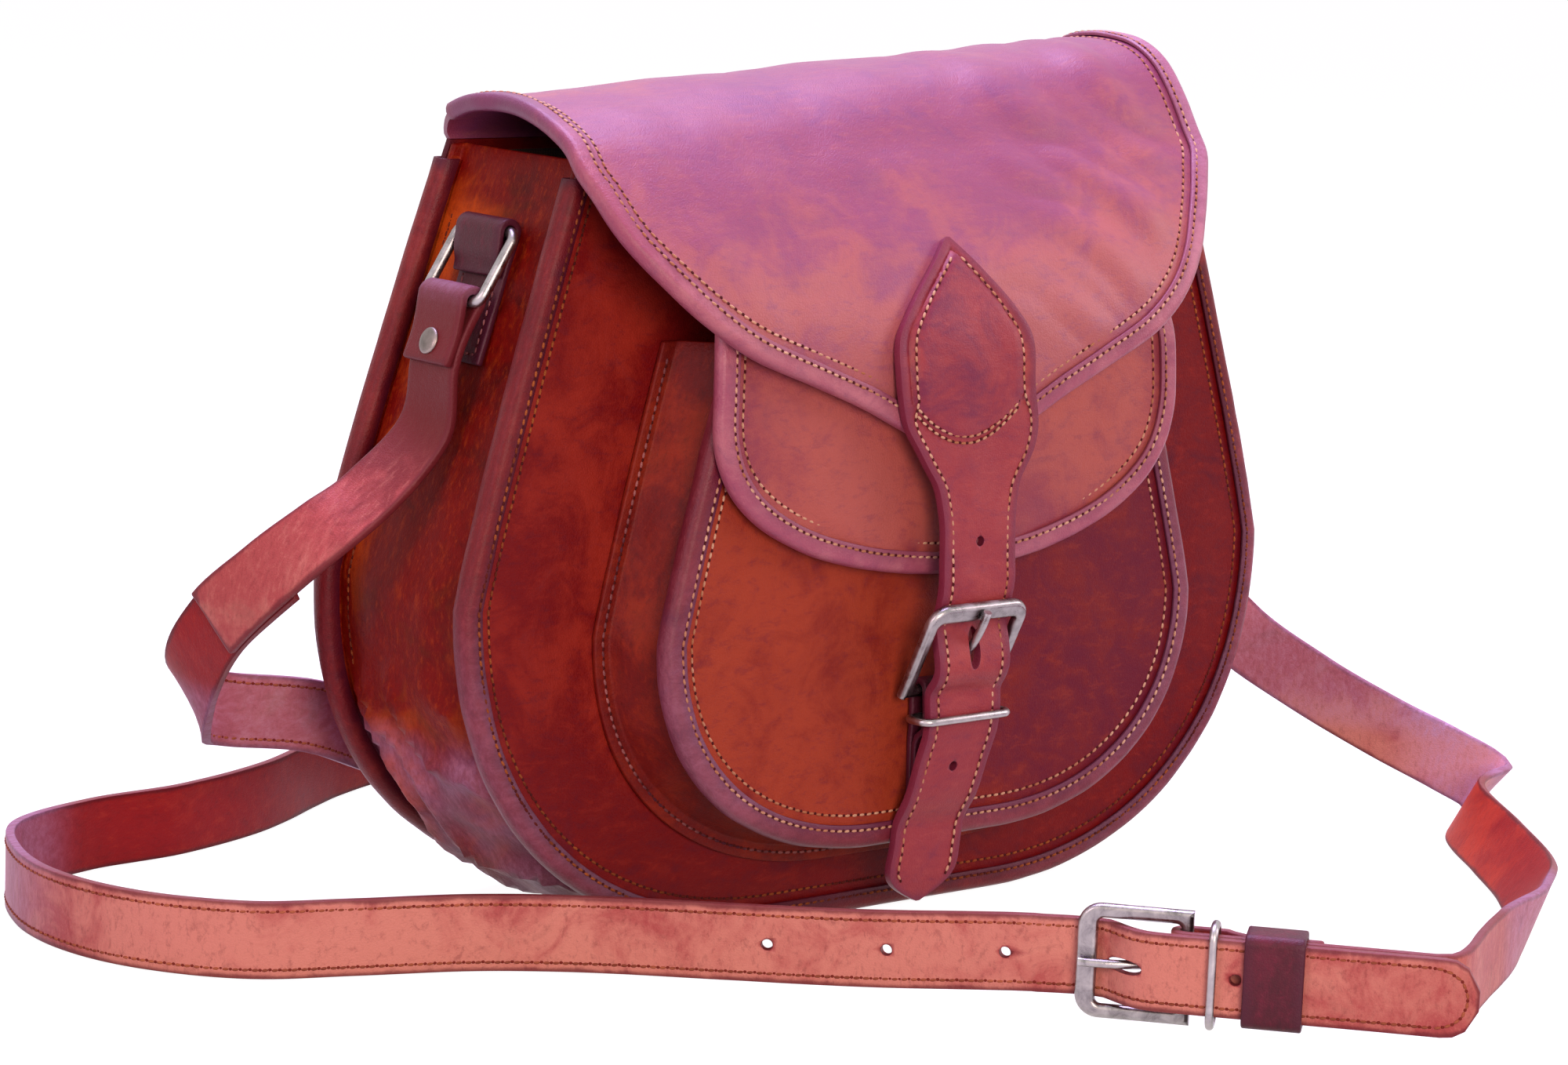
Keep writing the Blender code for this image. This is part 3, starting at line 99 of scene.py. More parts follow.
FLAP_SHARES = (
    (-1.00, 0.00, 0.930), (-1.00, 0.14, 0.945), (-0.81, 0.60, 0.968), (-0.42, 0.93, 0.975),
    (0.04, 1.00, 0.980), (0.26, 0.84, 0.985), (0.44, 0.45, 0.990), (0.575, -0.015, 0.990),
    (0.675, -0.115, 0.945), (0.780, -0.24, 0.885), (0.875, -0.375, 0.812), (0.942, -0.51, 0.722),
    (0.980, -0.63, 0.610), (0.995, -0.74, 0.450), (0.998, -0.83, 0.315), (0.996, -0.915, 0.205),
    (1.00, -0.975, 0.125), (1.00, -1.00, 0.070),
)
POCKET_FLAP_SHARES = (
    (0.00, 0.000, 0.880), (0.26, -0.010, 0.900), (0.60, 0.035, 0.930), (0.86, 0.130, 0.965),
    (0.970, 0.230, 0.990), (1.00, 0.360, 1.000), (1.00, 0.500, 1.000), (1.00, 0.625, 0.965),
    (1.00, 0.730, 0.890), (1.00, 0.820, 0.770), (1.00, 0.895, 0.610), (1.00, 0.955, 0.400),
    (1.00, 0.985, 0.220), (1.00, 1.000, 0.080),
)
TEARDROP_SHARES = (
    (0.000, 0.03), (0.036, 0.28), (0.090, 0.66), (0.142, 0.96), (0.170, 1.00), (0.220, 0.99),
    (0.260, 0.98), (0.279, 0.97), (0.303, 0.89), (0.331, 0.78), (0.360, 0.61), (0.388, 0.56),
    (0.410, 0.535),
)
CLOSURE_TAIL_SHARE = 0.255
TAIL_SHARES = (
    (0.000, 1.00), (0.45, 0.98), (0.70, 0.94), (0.80, 0.98), (0.88, 0.90), (0.955, 0.48), (1.0, 0.05),
)
# Rows of the strap's route: place, height of the lower edge, and the way across where it isn't upright.
LEFT_ROUTE_SHARES = (
    (-0.918, 0.004, 0.640, 0.05, -1.00, -0.20), (-1.020, 0.025, 0.556, 0.05, -0.93, -0.36),
    (-1.112, 0.057, 0.498, 0.05, -0.86, -0.51), (-1.178, 0.143, 0.431, 0.10, -0.80, -0.60),
    (-1.215, 0.250, 0.357, 0.20, -0.64, -0.74), (-1.207, 0.357, 0.280, 0.35, -0.55, -0.76),
    (-1.145, 0.436, 0.222, 0.40, -0.35, -0.85), (-1.049, 0.457, 0.198, 0.05, -0.10, -1.00),
    (-0.890, 0.414, 0.184), (-0.700, 0.460, 0.133), (-0.443, 0.579, 0.067), (-0.207, 0.707, 0.019),
    (-0.057, 0.850, 0.000), (-0.064, 1.014, 0.000), (-0.214, 1.100, 0.000), (-0.429, 1.029, 0.000),
    (-0.721, 0.850, 0.000), (-0.971, 0.764, 0.000), (-1.193, 0.743, 0.000), (-1.400, 0.657, 0.000),
    (-1.500, 0.457, 0.000), (-1.514, 0.257, 0.000), (-1.450, 0.071, 0.000), (-1.321, -0.079, 0.000),
    (-1.150, -0.157, 0.000), (-0.943, -0.243, 0.000), (-0.771, -0.364, 0.001), (-0.600, -0.529, 0.003),
    (-0.421, -0.714, 0.007),
)
RIGHT_ROUTE_SHARES = (
    (0.918, 0.004, 0.640, 0.00, -1.00, -0.20), (1.000, 0.029, 0.462, 0.00, -0.70, -0.70),
    (1.114, 0.057, 0.322, 0.00, -0.30, -1.00), (1.257, 0.057, 0.212), (1.371, -0.064, 0.138),
    (1.457, -0.221, 0.083, -0.10, 0.10, -1.00), (1.525, -0.350, 0.047, -0.30, 0.25, -0.92),
    (1.561, -0.436, 0.022, -0.50, 0.35, -0.79), (1.411, -0.514, 0.004, -0.42, 0.22, -0.88),
    (1.271, -0.732, 0.000, -0.50, 0.38, -0.78), (1.121, -0.946, 0.000, -0.54, 0.42, -0.73),
    (0.871, -1.186, 0.005, -0.28, 0.20, -0.94), (0.600, -1.350, 0.016), (0.429, -1.454, 0.023),
)
TURN_SHARES = ((0.962, -0.147), (0.932, -0.027), (0.903, 0.022))
STRAIGHT_SHARES = (0.85, 0.72, 0.60)

# %% [markdown]
# ## Places on the bag
#
# The front and the back panel lean in a little towards the mouth. The closure and the strap buckle
# each have a placement of their own, with the hinge bar at its origin.

# %%


def axes(origin, x_axis, y_axis, z_axis):
    """A placement whose own X, Y and Z point along the given directions."""
    return Matrix.Translation(origin) @ Matrix((x_axis, y_axis, z_axis)).transposed().to_4x4()


BACK_FACE = BASE_DEPTH / 2 - BODY_HEIGHT * math.tan(LEAN) + PANEL_LEATHER
FOLD_HEIGHT = BODY_HEIGHT + FLOOR_CLEARANCE + GAP * 2
FRONT = Matrix.Translation((0, -BASE_DEPTH / 2, FLOOR_CLEARANCE)) @ Matrix.Rotation(-LEAN, 4, "X")
BACK = Matrix.Translation((0, BASE_DEPTH / 2, FLOOR_CLEARANCE)) @ Matrix.Rotation(LEAN, 4, "X")
FLAP_HINGE = Matrix.Translation((0, BACK_FACE, FOLD_HEIGHT))
POCKET_FLAP_HINGE = FRONT @ Matrix.Translation((0, -PANEL_LEATHER - GAP, POCKET_FLAP_TOP))
CLOSURE_BACKING = BAR_RADIUS + GAP * 2 + PRONG_WIRE
CLOSURE_OUT = PANEL_LEATHER + POCKET_DEPTH + CLOSURE_BACKING
CLOSURE_SEAT = FRONT @ Matrix.Translation((0, -CLOSURE_OUT, CLOSURE_HINGE_HEIGHT))
CLOSURE_SEAT = CLOSURE_SEAT @ Matrix.Rotation(math.pi / 2, 4, "X")
CLOSURE_FRAME = CLOSURE_SEAT @ Matrix.Rotation(CLOSURE_TILT, 4, "X")
heading = Vector((0.6485, -0.7612, 0)).normalized()
strap_spot = Vector((-0.055 * HALF_BODY, -1.186 * HALF_BODY, STRAP_LIFT + STRAP_WIDTH / 2))
STRAP_SEAT = axes(strap_spot, Vector((0, 0, 1)), -heading, Vector((heading.y, -heading.x, 0)))
print("closure hinge", CLOSURE_SEAT.translation, "strap hinge", STRAP_SEAT.translation)

# %% [markdown]
# ## Lines and outlines

# %%


def between(table, share):
    """Straight interpolation in a table of rows whose first value rises."""
    for low, high in zip(table, table[1:]):
        if share <= high[0]:
            part = (share - low[0]) / (high[0] - low[0])
            return [a + (b - a) * part for a, b in zip(low, high)]
    return list(table[-1])


def fade(low, high, value):
    share = min(max((value - low) / (high - low), 0.0), 1.0)
    return share * share * (3 - 2 * share)


def curve_at(before, start, end, after, t):
    """The point at share t from start to end, on a curve through all four."""
    return (start * 2 + (end - before) * t + (before * 2 - start * 5 + end * 4 - after) * t ** 2
            + (start * 3 - before - end * 3 + after) * t ** 3) / 2


def running_lengths(points):
    """How far along a line each of its points is."""
    lengths = [0.0]
    for start, end in zip(points, points[1:]):
        lengths.append(lengths[-1] + (end - start).length)
    return lengths


def smooth_line(points, step):
    """A curve through all the given points, cut into stretches of about one step."""
    rows = [Vector(point) for point in points]
    ends = [rows[0] * 2 - rows[1]] + rows + [rows[-1] * 2 - rows[-2]]
    line = []
    for before, start, end, after in zip(ends, ends[1:], ends[2:], ends[3:]):
        pieces = max(1, round((end - start).length / step))
        line += [curve_at(before, start, end, after, index / pieces) for index in range(pieces)]
    return line + [rows[-1]]


def paired_line(points, step):
    """The same for (place, across) pairs: both follow one set of stretches."""
    places = [point for point, across in points]
    line, widths = [], []
    ends = [0] + list(range(len(places))) + [len(places) - 1]
    for a, b, c, d in zip(ends, ends[1:], ends[2:], ends[3:]):
        pieces = max(1, round((places[c] - places[b]).length / step))
        before = places[b] * 2 - places[c] if a == b else places[a]
        after = places[c] * 2 - places[b] if c == d else places[d]
        for index in range(pieces):
            t = index / pieces
            line.append(curve_at(before, places[b], places[c], after, t))
            widths.append(points[b][1].lerp(points[c][1], t * t * (3 - 2 * t)))
    return line + [places[-1]], widths + [points[-1][1]]


def even_line(line, count):
    """The same line with its points an equal distance apart."""
    lengths = running_lengths(line)
    result = []
    index = 0
    for step in range(count + 1):
        wanted = lengths[-1] * step / count
        while index < len(line) - 2 and lengths[index + 1] < wanted:
            index += 1
        run = lengths[index + 1] - lengths[index]
        part = (wanted - lengths[index]) / run if run else 0.0
        result.append(line[index].lerp(line[index + 1], min(part, 1.0)))
    return result


def pear(width, mouth, widest, top, flat, bottom, grow, rim, lower_steps=44, upper_steps=22):
    """Outline of a panel as (x, height) points, from the left end of its rim round the base."""
    right = []
    for step in range(lower_steps + 1):
        angle = math.pi / 2 * (1 - step / lower_steps)
        reach = width / 2 + grow - flat / 2
        fall = widest - bottom + grow
        x = flat / 2 + reach * max(math.cos(angle), 0.0) ** LOWER_ROUND_SHARE
        right.append((x, widest - fall * max(math.sin(angle), 0.0) ** LOWER_ROUND_SHARE))
    for step in range(1, upper_steps + 1):
        rise = step / upper_steps * (rim - widest) / (top - widest)
        x = mouth / 2 + grow + (width - mouth) / 2 * (1 - rise ** SIDE_TAPER_SHARE)
        right.append((x, widest + (top - widest) * rise))
    base = [(flat / 2 * share, right[0][1]) for share in (-0.5, 0.0, 0.5)]
    return [(-x, height) for x, height in reversed(right)] + base + right


def body_outline(grow, rim=BODY_HEIGHT):
    return pear(BODY_WIDTH, MOUTH_WIDTH, WIDEST_HEIGHT, BODY_HEIGHT, BASE_FLAT, 0.0, grow, rim)


def pocket_outline(grow, rim=POCKET_RIM):
    size = (POCKET_WIDTH, POCKET_MOUTH, POCKET_WIDEST, POCKET_TOP, POCKET_BASE_FLAT, POCKET_BOTTOM)
    return pear(*size, grow, rim)


def half_depth(height):
    return BASE_DEPTH / 2 - height * math.tan(LEAN)


def gusset_crown(height):
    low = SEAM_WIDTH + GUSSET_LEATHER / 2
    return GUSSET_CROWN * (1 - max(height - low, 0.0) / BODY_HEIGHT) ** 2


def gusset_face(height):
    """How far out the gusset's outer face stands on its middle line."""
    rise = (height - WIDEST_HEIGHT) / (BODY_HEIGHT - WIDEST_HEIGHT)
    draw_in = (BODY_WIDTH - MOUTH_WIDTH) / 2 * (1 - rise ** SIDE_TAPER_SHARE)
    return MOUTH_WIDTH / 2 - SEAM_WIDTH + draw_in + gusset_crown(height)


print("points round the body outline:", len(body_outline(0)))

# %% [markdown]
# ## Colours and materials
#
# The leather is vegetable tanned and oiled: a red-brown ground, orange where the oil has been pulled
# out, nearly black in the creases and along the burnished edges. One material maker serves every
# leather piece. Real sizes in metres drive the patterns: pores about 0.8 mm across, brush marks 6.5 mm
# long, creases about 11 mm apart and oil marks 17 to 62 mm across.

# %%
# Pale lilac laid on folds and edges as a painted sheen: a painted highlight of the cool top light.
PAINTED_SHEEN_COLOUR = "C69ABC"
CLOUDS, SCUFFS, OIL_MARKS, CREASES, BRUSH_MARKS = 0.062, 0.020, 0.017, 0.011, 0.0065
GRAIN, PORES = 0.0016, 0.0008
SMOOTH, IN_COLOUR = {"interpolation_type": "SMOOTHSTEP"}, {"data_type": "RGBA"}


def rgb(code):
    """Linear colour from a screen colour written as six hex digits."""
    parts = [int(code[i:i + 2], 16) / 255 for i in (0, 2, 4)]
    return tuple(c / 12.92 if c <= 0.04045 else ((c + 0.055) / 1.055) ** 2.4 for c in parts) + (1.0,)


def add_node(tree, kind, inputs=(), output=0, **settings):
    """Adds a shader node and returns one output. Inputs are values or sockets, in order or by name."""
    node = tree.nodes.new("ShaderNode" + kind)
    for key, value in settings.items():
        setattr(node, key, value)
    for key, value in inputs.items() if isinstance(inputs, dict) else enumerate(inputs):
        if isinstance(value, bpy.types.NodeSocket):
            tree.links.new(value, node.inputs[key])
        else:
            node.inputs[key].default_value = value
    return node.outputs[output] if node.outputs else node


def blank_material(name):
    material = bpy.data.materials.new(name)
    material.use_nodes = True
    material.node_tree.nodes.clear()
    return material, material.node_tree


def leather(name, colours, pulled_amount, roughness, shine, seed, edge_reach=0.0042):
    """Oiled leather in four colours: ground, stretched places, oily places and burnished edge.

    A pale lilac painted highlight (painted sheen) is laid where its attribute says; a tone under -0.4 takes
    the oily colour, and in some pieces that low tone is painted shade.
    """
    ground, pulled, deep, burnished = [rgb(code) for code in colours.split()]
    material, tree = blank_material(name)
    place = add_node(tree, "TexCoord", output="Object")
    shifted = add_node(tree, "VectorMath", (place, (seed, seed * 0.7, -seed)), operation="ADD")
    turned = {"Vector": shifted, "Rotation": (0.3, 0.5, 0.7), "Scale": (1.0, 5.0, 2.2)}
    streaks = add_node(tree, "Mapping", turned)
    tone, edge, painted_sheen = [add_node(tree, "Attribute", output="Fac", attribute_name=layer)
                         for layer in ("tone", "edge", "painted_sheen")]
    patterns = []
    for vector, size, detail, rough, distortion, kind in (
            (shifted, CLOUDS, 5.0, 0.62, 0.6, "FBM"), (shifted, OIL_MARKS, 6.0, 0.66, 0.9, "FBM"),
            (streaks, SCUFFS, 7.0, 0.72, 0.4, "FBM"), (streaks, BRUSH_MARKS, 6.0, 0.75, 0.3, "FBM"),
            (shifted, GRAIN, 5.0, 0.7, 0.0, "FBM"),
            (streaks, CREASES, 4.0, 0.55, 1.4, "RIDGED_MULTIFRACTAL")):
        inputs = {"Vector": vector, "Scale": 1 / size, "Detail": detail, "Roughness": rough,
                  "Distortion": distortion}
        patterns.append(add_node(tree, "TexNoise", inputs, noise_type=kind))
    clouds, marks, scuffs, brushed, grain, folds = patterns
    uneven = add_node(tree, "Math", (marks, 0.5), operation="SUBTRACT")
    amount = clouds
    for part in (pulled_amount - 0.5, tone, add_node(tree, "Math", (uneven, 0.75), operation="MULTIPLY")):
        amount = add_node(tree, "Math", (amount, part), operation="ADD")
    # Low tones pull towards the oily colour; in some pieces the tone is set low as painted shade.
    scaled_tone = add_node(tree, "Math", (tone, 0.35), operation="MULTIPLY")
    oily = add_node(tree, "Math", (marks, scaled_tone), operation="SUBTRACT")
    ragged = add_node(tree, "Math", (uneven, edge_reach * 1.4), operation="MULTIPLY")
    burnish = add_node(tree, "Math", (edge, ragged), operation="ADD")
    colour = ground
    for value, low, high, at_low, at_high, paint in (
            (amount, 0.38, 0.70, 0.0, 1.0, pulled), (oily, 0.50, 0.82, 0.0, 0.70, deep),
            (scuffs, 0.52, 0.76, 0.0, 0.36, pulled), (brushed, 0.50, 0.68, 0.0, 0.34, deep),
            (brushed, 0.34, 0.48, 0.30, 0.0, pulled), (tone, -1.0, -0.4, 0.92, 0.0, deep),
            (burnish, 0.0004, edge_reach, 0.80, 0.0, burnished)):
        share = add_node(tree, "MapRange", (value, low, high, at_low, at_high), **SMOOTH)
        colour = add_node(tree, "Mix", {0: share, 6: colour, 7: paint}, 2, **IN_COLOUR)
    # The pale lilac mix is a painted highlight (painted sheen), patterned by the brush marks; the crease mix
    # darkens the creases.
    rubbed = add_node(tree, "MapRange", (brushed, 0.36, 0.62, 1.0, 0.55), **SMOOTH)
    creases = add_node(tree, "MapRange", (folds, 0.55, 1.35, 0.0, 1.0), **SMOOTH)
    for mask, strength, paint in ((painted_sheen, rubbed, rgb(PAINTED_SHEEN_COLOUR)), (creases, 0.24, deep)):
        share = add_node(tree, "Math", (mask, strength), operation="MULTIPLY")
        colour = add_node(tree, "Mix", {0: share, 6: colour, 7: paint}, 2, **IN_COLOUR)
    dull = add_node(tree, "Math", (marks, 0.22), operation="MULTIPLY")
    for part in (roughness - 0.10, add_node(tree, "Math", (grain, 0.08), operation="MULTIPLY")):
        dull = add_node(tree, "Math", (dull, part), operation="ADD")
    cells = {"Vector": shifted, "Scale": 1 / PORES, "Randomness": 1.0}
    pores = add_node(tree, "TexVoronoi", cells, feature="DISTANCE_TO_EDGE")
    pores = add_node(tree, "MapRange", (pores, 0.0, 0.22, 0.0, 1.0), **SMOOTH)
    coarse = {"Strength": 0.35, "Distance": 0.0009, "Height": creases}
    coarse = add_node(tree, "Bump", coarse, invert=True)
    medium = add_node(tree, "Bump", {"Strength": 0.30, "Distance": 0.0005, "Height": grain, "Normal": coarse})
    fine = add_node(tree, "Bump", {"Strength": 0.22, "Distance": 0.00025, "Height": pores, "Normal": medium})
    surface = add_node(tree, "BsdfPrincipled", {
        "Base Color": colour, "Roughness": dull, "Specular IOR Level": shine * 1.6, "Coat Weight": shine,
        "Coat Roughness": 0.36, "Coat IOR": 1.45, "Normal": fine, "Coat Normal": medium})
    add_node(tree, "OutputMaterial", (surface,))
    return material


def worn_metal(name, bright, dark, roughness=0.30):
    """Antiqued nickel: bright where rubbed, brown-black in the hollows, with fine pits."""
    material, tree = blank_material(name)
    place = add_node(tree, "TexCoord", output="Object")
    patches, pits = [
        add_node(tree, "TexNoise", {"Vector": place, "Scale": 1 / size, "Detail": detail, "Roughness": rough,
                                    "Distortion": distortion})
        for size, detail, rough, distortion in ((0.0045, 5.0, 0.65, 0.5), (0.0007, 3.0, 0.6, 0.0))]
    hollow = add_node(tree, "NewGeometry", output="Pointiness")
    patchy = add_node(tree, "Math", (patches, 0.16), operation="MULTIPLY")
    rubbed = add_node(tree, "Math", (hollow, patchy), operation="ADD")
    rubbed = add_node(tree, "MapRange", (rubbed, 0.50, 0.66, 0.0, 1.0), **SMOOTH)
    dull = add_node(tree, "MapRange", (patches, 0.30, 0.75, roughness - 0.06, roughness + 0.16),
                    **SMOOTH)
    surface = add_node(tree, "BsdfPrincipled", {
        "Base Color": add_node(tree, "Mix", {0: rubbed, 6: rgb(dark), 7: rgb(bright)}, 2, **IN_COLOUR),
        "Metallic": 1.0, "Roughness": dull,
        "Normal": add_node(tree, "Bump", {"Strength": 0.18, "Distance": 0.0002, "Height": pits})})
    add_node(tree, "OutputMaterial", (surface,))
    return material


def thread(name, light, dark, hole_shade_colour="4A1210"):
    """Waxed, twisted thread, worn darker in places, with a dark spot beside each stitch as painted shade in
    the punched hole.
    """
    material, tree = blank_material(name)
    place = add_node(tree, "TexCoord", output="Object")
    wear = add_node(tree, "TexNoise", {"Vector": place, "Scale": 1 / 0.022, "Detail": 3.0, "Roughness": 0.6,
                                       "Distortion": 0.0})
    twist = add_node(tree, "TexWave", {"Vector": place, "Scale": 1 / 0.0011, "Distortion": 2.0}, 1,
                     bands_direction="DIAGONAL")
    colour = rgb(dark)
    for share, paint in (
            (add_node(tree, "MapRange", (wear, 0.35, 0.65, 0.0, 1.0), **SMOOTH), light),
            (add_node(tree, "Math", (twist, 0.25), operation="MULTIPLY"), dark),
            (add_node(tree, "Attribute", output="Fac", attribute_name="hole"), hole_shade_colour)):
        colour = add_node(tree, "Mix", {0: share, 6: colour, 7: rgb(paint)}, 2, **IN_COLOUR)
    surface = add_node(tree, "BsdfPrincipled", {
        "Base Color": colour, "Roughness": 0.68, "Specular IOR Level": 0.15,
        "Normal": add_node(tree, "Bump", {"Strength": 0.3, "Distance": 0.0002, "Height": twist})})
    add_node(tree, "OutputMaterial", (surface,))
    return material


def woven(name, light, dark):
    """Plain woven cotton with about 1.2 threads a millimetre."""
    material, tree = blank_material(name)
    place = add_node(tree, "TexCoord", output="Object")
    warp, weft = [add_node(tree, "TexWave", {"Vector": place, "Scale": 1 / 0.0026, "Distortion": 0.4}, 1,
                           bands_direction=direction) for direction in ("X", "Z")]
    weave = add_node(tree, "Math", (warp, weft), operation="MULTIPLY")
    surface = add_node(tree, "BsdfPrincipled", {
        "Base Color": add_node(tree, "Mix", {0: weave, 6: rgb(dark), 7: rgb(light)}, 2, **IN_COLOUR),
        "Roughness": 0.9,
        "Normal": add_node(tree, "Bump", {"Strength": 0.4, "Distance": 0.0003, "Height": weave})})
    add_node(tree, "OutputMaterial", (surface,))
    return material


# The body is dull oiled hide: deep red panels, and a side wall pulled to orange where it bends.
PANEL = leather("panel_leather", "740A0A 9C2A1A 4A0620 40061A", 0.42, 0.46, 0.08, 0.0)
GUSSET = leather("gusset_leather", "7C0C04 C85012 3A0202 340404", 0.46, 0.44, 0.06, 0.3)
POCKET = leather("pocket_leather", "802018 A43E24 5E0E2C 682442", 0.44, 0.46, 0.09, 0.6)
POCKET_SIDE = leather("pocket_side_leather", "6C120C 9C3014 300506 2E0406", 0.46, 0.46, 0.08, 0.8)
# The flaps and their edges are handled most: waxed, so they shine and turn pink and mauve. The mauve oily
# colours also serve as painted lilac sheen at the flap's top middle and as painted shade at the rear left
# end of its rolled edge.
FLAP = leather("flap_leather", "903E60 AE5A58 743266 88384E", 0.46, 0.44, 0.26, 1.1)
SMALL_FLAP = leather("pocket_flap_leather", "8E3442 B05448 6E2244 883448", 0.46, 0.44, 0.20, 1.2)
FLAP_EDGE = leather("flap_binding_leather", "9E465E BE7078 763056 883C54", 0.46, 0.42, 0.26, 1.3)
# Bindings are thin strips, darker than the hide they are rolled over.
POCKET_EDGE = leather("pocket_binding_leather", "701E2A 98424C 4A0E30 5C1A3A", 0.42, 0.42, 0.16, 1.5)
EDGE = leather("binding_leather", "701218 9C342E 3C060E 460C22", 0.40, 0.42, 0.12, 1.4)
# The closure strap is thick and firm; tabs and leather keeper are purple-brown.
CLOSURE = leather("closure_leather", "963038 B04A44 641440 74243E", 0.42, 0.44, 0.17, 1.7)
DARK = leather("dark_leather", "4A0C1C 7C2238 260610 4C1628", 0.42, 0.42, 0.14, 2.0)
# The shoulder strap is salmon outside, where it is rubbed and dry, and crimson on its inner face, darker
# there partly as painted shade.
STRAP = leather("strap_leather", "B4504C DC8C78 6E1C20 6A2028", 0.42, 0.46, 0.12, 2.3, 0.0016)
STRAP_INSIDE_AND_SHADE = leather("strap_inside_leather_and_shade", "981616 C03C24 620A18 541018", 0.40, 0.46, 0.10, 2.7, 0.0016)
# Antiqued nickel on wire and castings; the rivet caps are duller and browner.
METAL = worn_metal("satin_nickel", "B4ACAC", "3E3436")
STUD_METAL = worn_metal("dulled_nickel", "9A8C86", "3A2C2A", 0.36)
# The thread is pale on the flaps and the pocket, and tan to brown on the body and the strap.
THREAD = thread("pale_thread", "E6BC98", "B0704C")
DARK_THREAD = thread("rubbed_thread", "B0706A", "4E1C28")
BODY_THREAD = thread("tan_thread", "B0602E", "5A1A10")
STRAP_THREAD = thread("brown_thread", "BC6C48", "8A4630", "7C2C20")
CLOTH = woven("lining_cloth", "5A4030", "38261A")
print("materials:", len(bpy.data.materials))

# %% [markdown]
# ## Making a leather surface
#
# A piece starts as a grid laid through rows of points. Each point carries its distance from the cut edge
# (for the burnished rim) and a tone (for the lighter, stretched places; in some pieces a low tone is painted
# shade). The grid is creased by moving points along their normals, then thickened and softened.

# %%


def mesh_of(shape, name):
    """The mesh of a finished bmesh."""
    mesh = bpy.data.meshes.new(name)
    shape.to_mesh(mesh)
    shape.free()
    return mesh


def add_object(name, mesh, *materials):
    item = bpy.data.objects.new(name, mesh)
    bpy.context.scene.collection.objects.link(item)
    for material in materials:
        mesh.materials.append(material)
    return item


def grid(name, rows, material, open_edges="LRSE"):
    """A grid through rows of points. Open edges: left, right, start and end."""
    across, along = len(rows[0]) - 1, len(rows) - 1
    shape = bmesh.new()
    shape.loops.layers.uv.new("UVMap")
    bmesh.ops.create_grid(shape, x_segments=across, y_segments=along, size=1, calc_uvs=True)
    edge_layer = shape.verts.layers.float.new("edge")
    tone_layer = shape.verts.layers.float.new("tone")
    u, v = flat_map(rows)
    for vertex in shape.verts:
        column = round((vertex.co.x + 1) / 2 * across)
        row = round((vertex.co.y + 1) / 2 * along)
        vertex.co = rows[row][column]
        reach = [u[row][column]] if "L" in open_edges else []
        reach += [u[row][-1] - u[row][column]] if "R" in open_edges else []
        reach += [v[row][column]] if "S" in open_edges else []
        reach += [v[-1][column] - v[row][column]] if "E" in open_edges else []
        vertex[edge_layer] = min(reach) if reach else 1.0
        vertex[tone_layer] = 0.0
    mesh = mesh_of(shape, name)
    mesh.shade_smooth()
    return add_object(name, mesh, material)


def flat_map(rows):
    """Distances across each row and along each column, in metres."""
    u = [running_lengths(row) for row in rows]
    v = [[0.0] * len(rows[0])]
    for before, row in zip(rows, rows[1:]):
        v.append([length + (b - a).length for length, a, b in zip(v[-1], before, row)])
    return u, v


def press(item, height):
    """Moves each point along its normal by height(place, distance from the edge)."""
    mesh = item.data
    edge = mesh.attributes["edge"].data
    normals = [vertex.normal.copy() for vertex in mesh.vertices]
    for index, vertex in enumerate(mesh.vertices):
        vertex.co += normals[index] * height(vertex.co, edge[index].value)
    mesh.update()


def tint(item, tone):
    """Sets the tone of each point from its place and edge distance: above 0 is lighter, below is darker."""
    layer = item.data.attributes["tone"].data
    edge = item.data.attributes["edge"].data
    for index, vertex in enumerate(item.data.vertices):
        layer[index].value = tone(vertex.co, edge[index].value)


def paint_sheen(item, painted_sheen):
    """Sets how much painted sheen, a pale lilac painted highlight, shows at each point, 0 to 1, from its
    place.
    """
    layer = item.data.attributes.new("painted_sheen", "FLOAT", "POINT").data
    for index, vertex in enumerate(item.data.vertices):
        layer[index].value = min(max(painted_sheen(vertex.co), 0.0), 1.0)


def settle(item):
    """Applies an object's modifiers to its mesh."""
    bpy.context.view_layer.update()
    graph = bpy.context.evaluated_depsgraph_get()
    shown = item.evaluated_get(graph)
    mesh = bpy.data.meshes.new_from_object(shown, preserve_all_data_layers=True, depsgraph=graph)
    item.modifiers.clear()
    old = item.data
    item.data = mesh
    bpy.data.meshes.remove(old)
    item.data.name = item.name


def thicken(item, thickness, slots=(0, 0)):
    """Gives a sheet its wall; slots says how far on the materials of its far face and rim are."""
    wall = item.modifiers.new("Leather", "SOLIDIFY")
    wall.thickness = thickness
    wall.offset = 0.0
    wall.use_even_offset = True
    wall.material_offset, wall.material_offset_rim = slots
    rim = item.modifiers.new("Rim", "BEVEL")
    rim.width = thickness * 0.28
    rim.segments = 2
    rim.limit_method = "ANGLE"
    rim.angle_limit = math.radians(50)
    rim.harden_normals = False
    settle(item)
    item.data.shade_smooth()


def seat(item, body, slot_name, *nodes):
    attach(item, body)
    if nodes:
        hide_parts(*nodes)
    return item


def facing_of(item, axis, side):
    """1 if the middle of a grid faces that side along the axis, -1 if it faces away."""
    return 1 if item.data.vertices[len(item.data.vertices) // 2].normal[axis] * side > 0 else -1


def bump_at(place, centre, size):
    """A round swelling, 1 at its centre, that fades over its size."""
    return math.exp(-sum(((a - b) / s) ** 2 for a, b, s in zip(place, centre, size)))


def waves(place, size, seed=0.0):
    return noise.noise(Vector(place) / size + Vector((seed, seed * 1.7, -seed)))


def placed(rows, matrix):
    return [[matrix @ point for point in row] for row in rows]


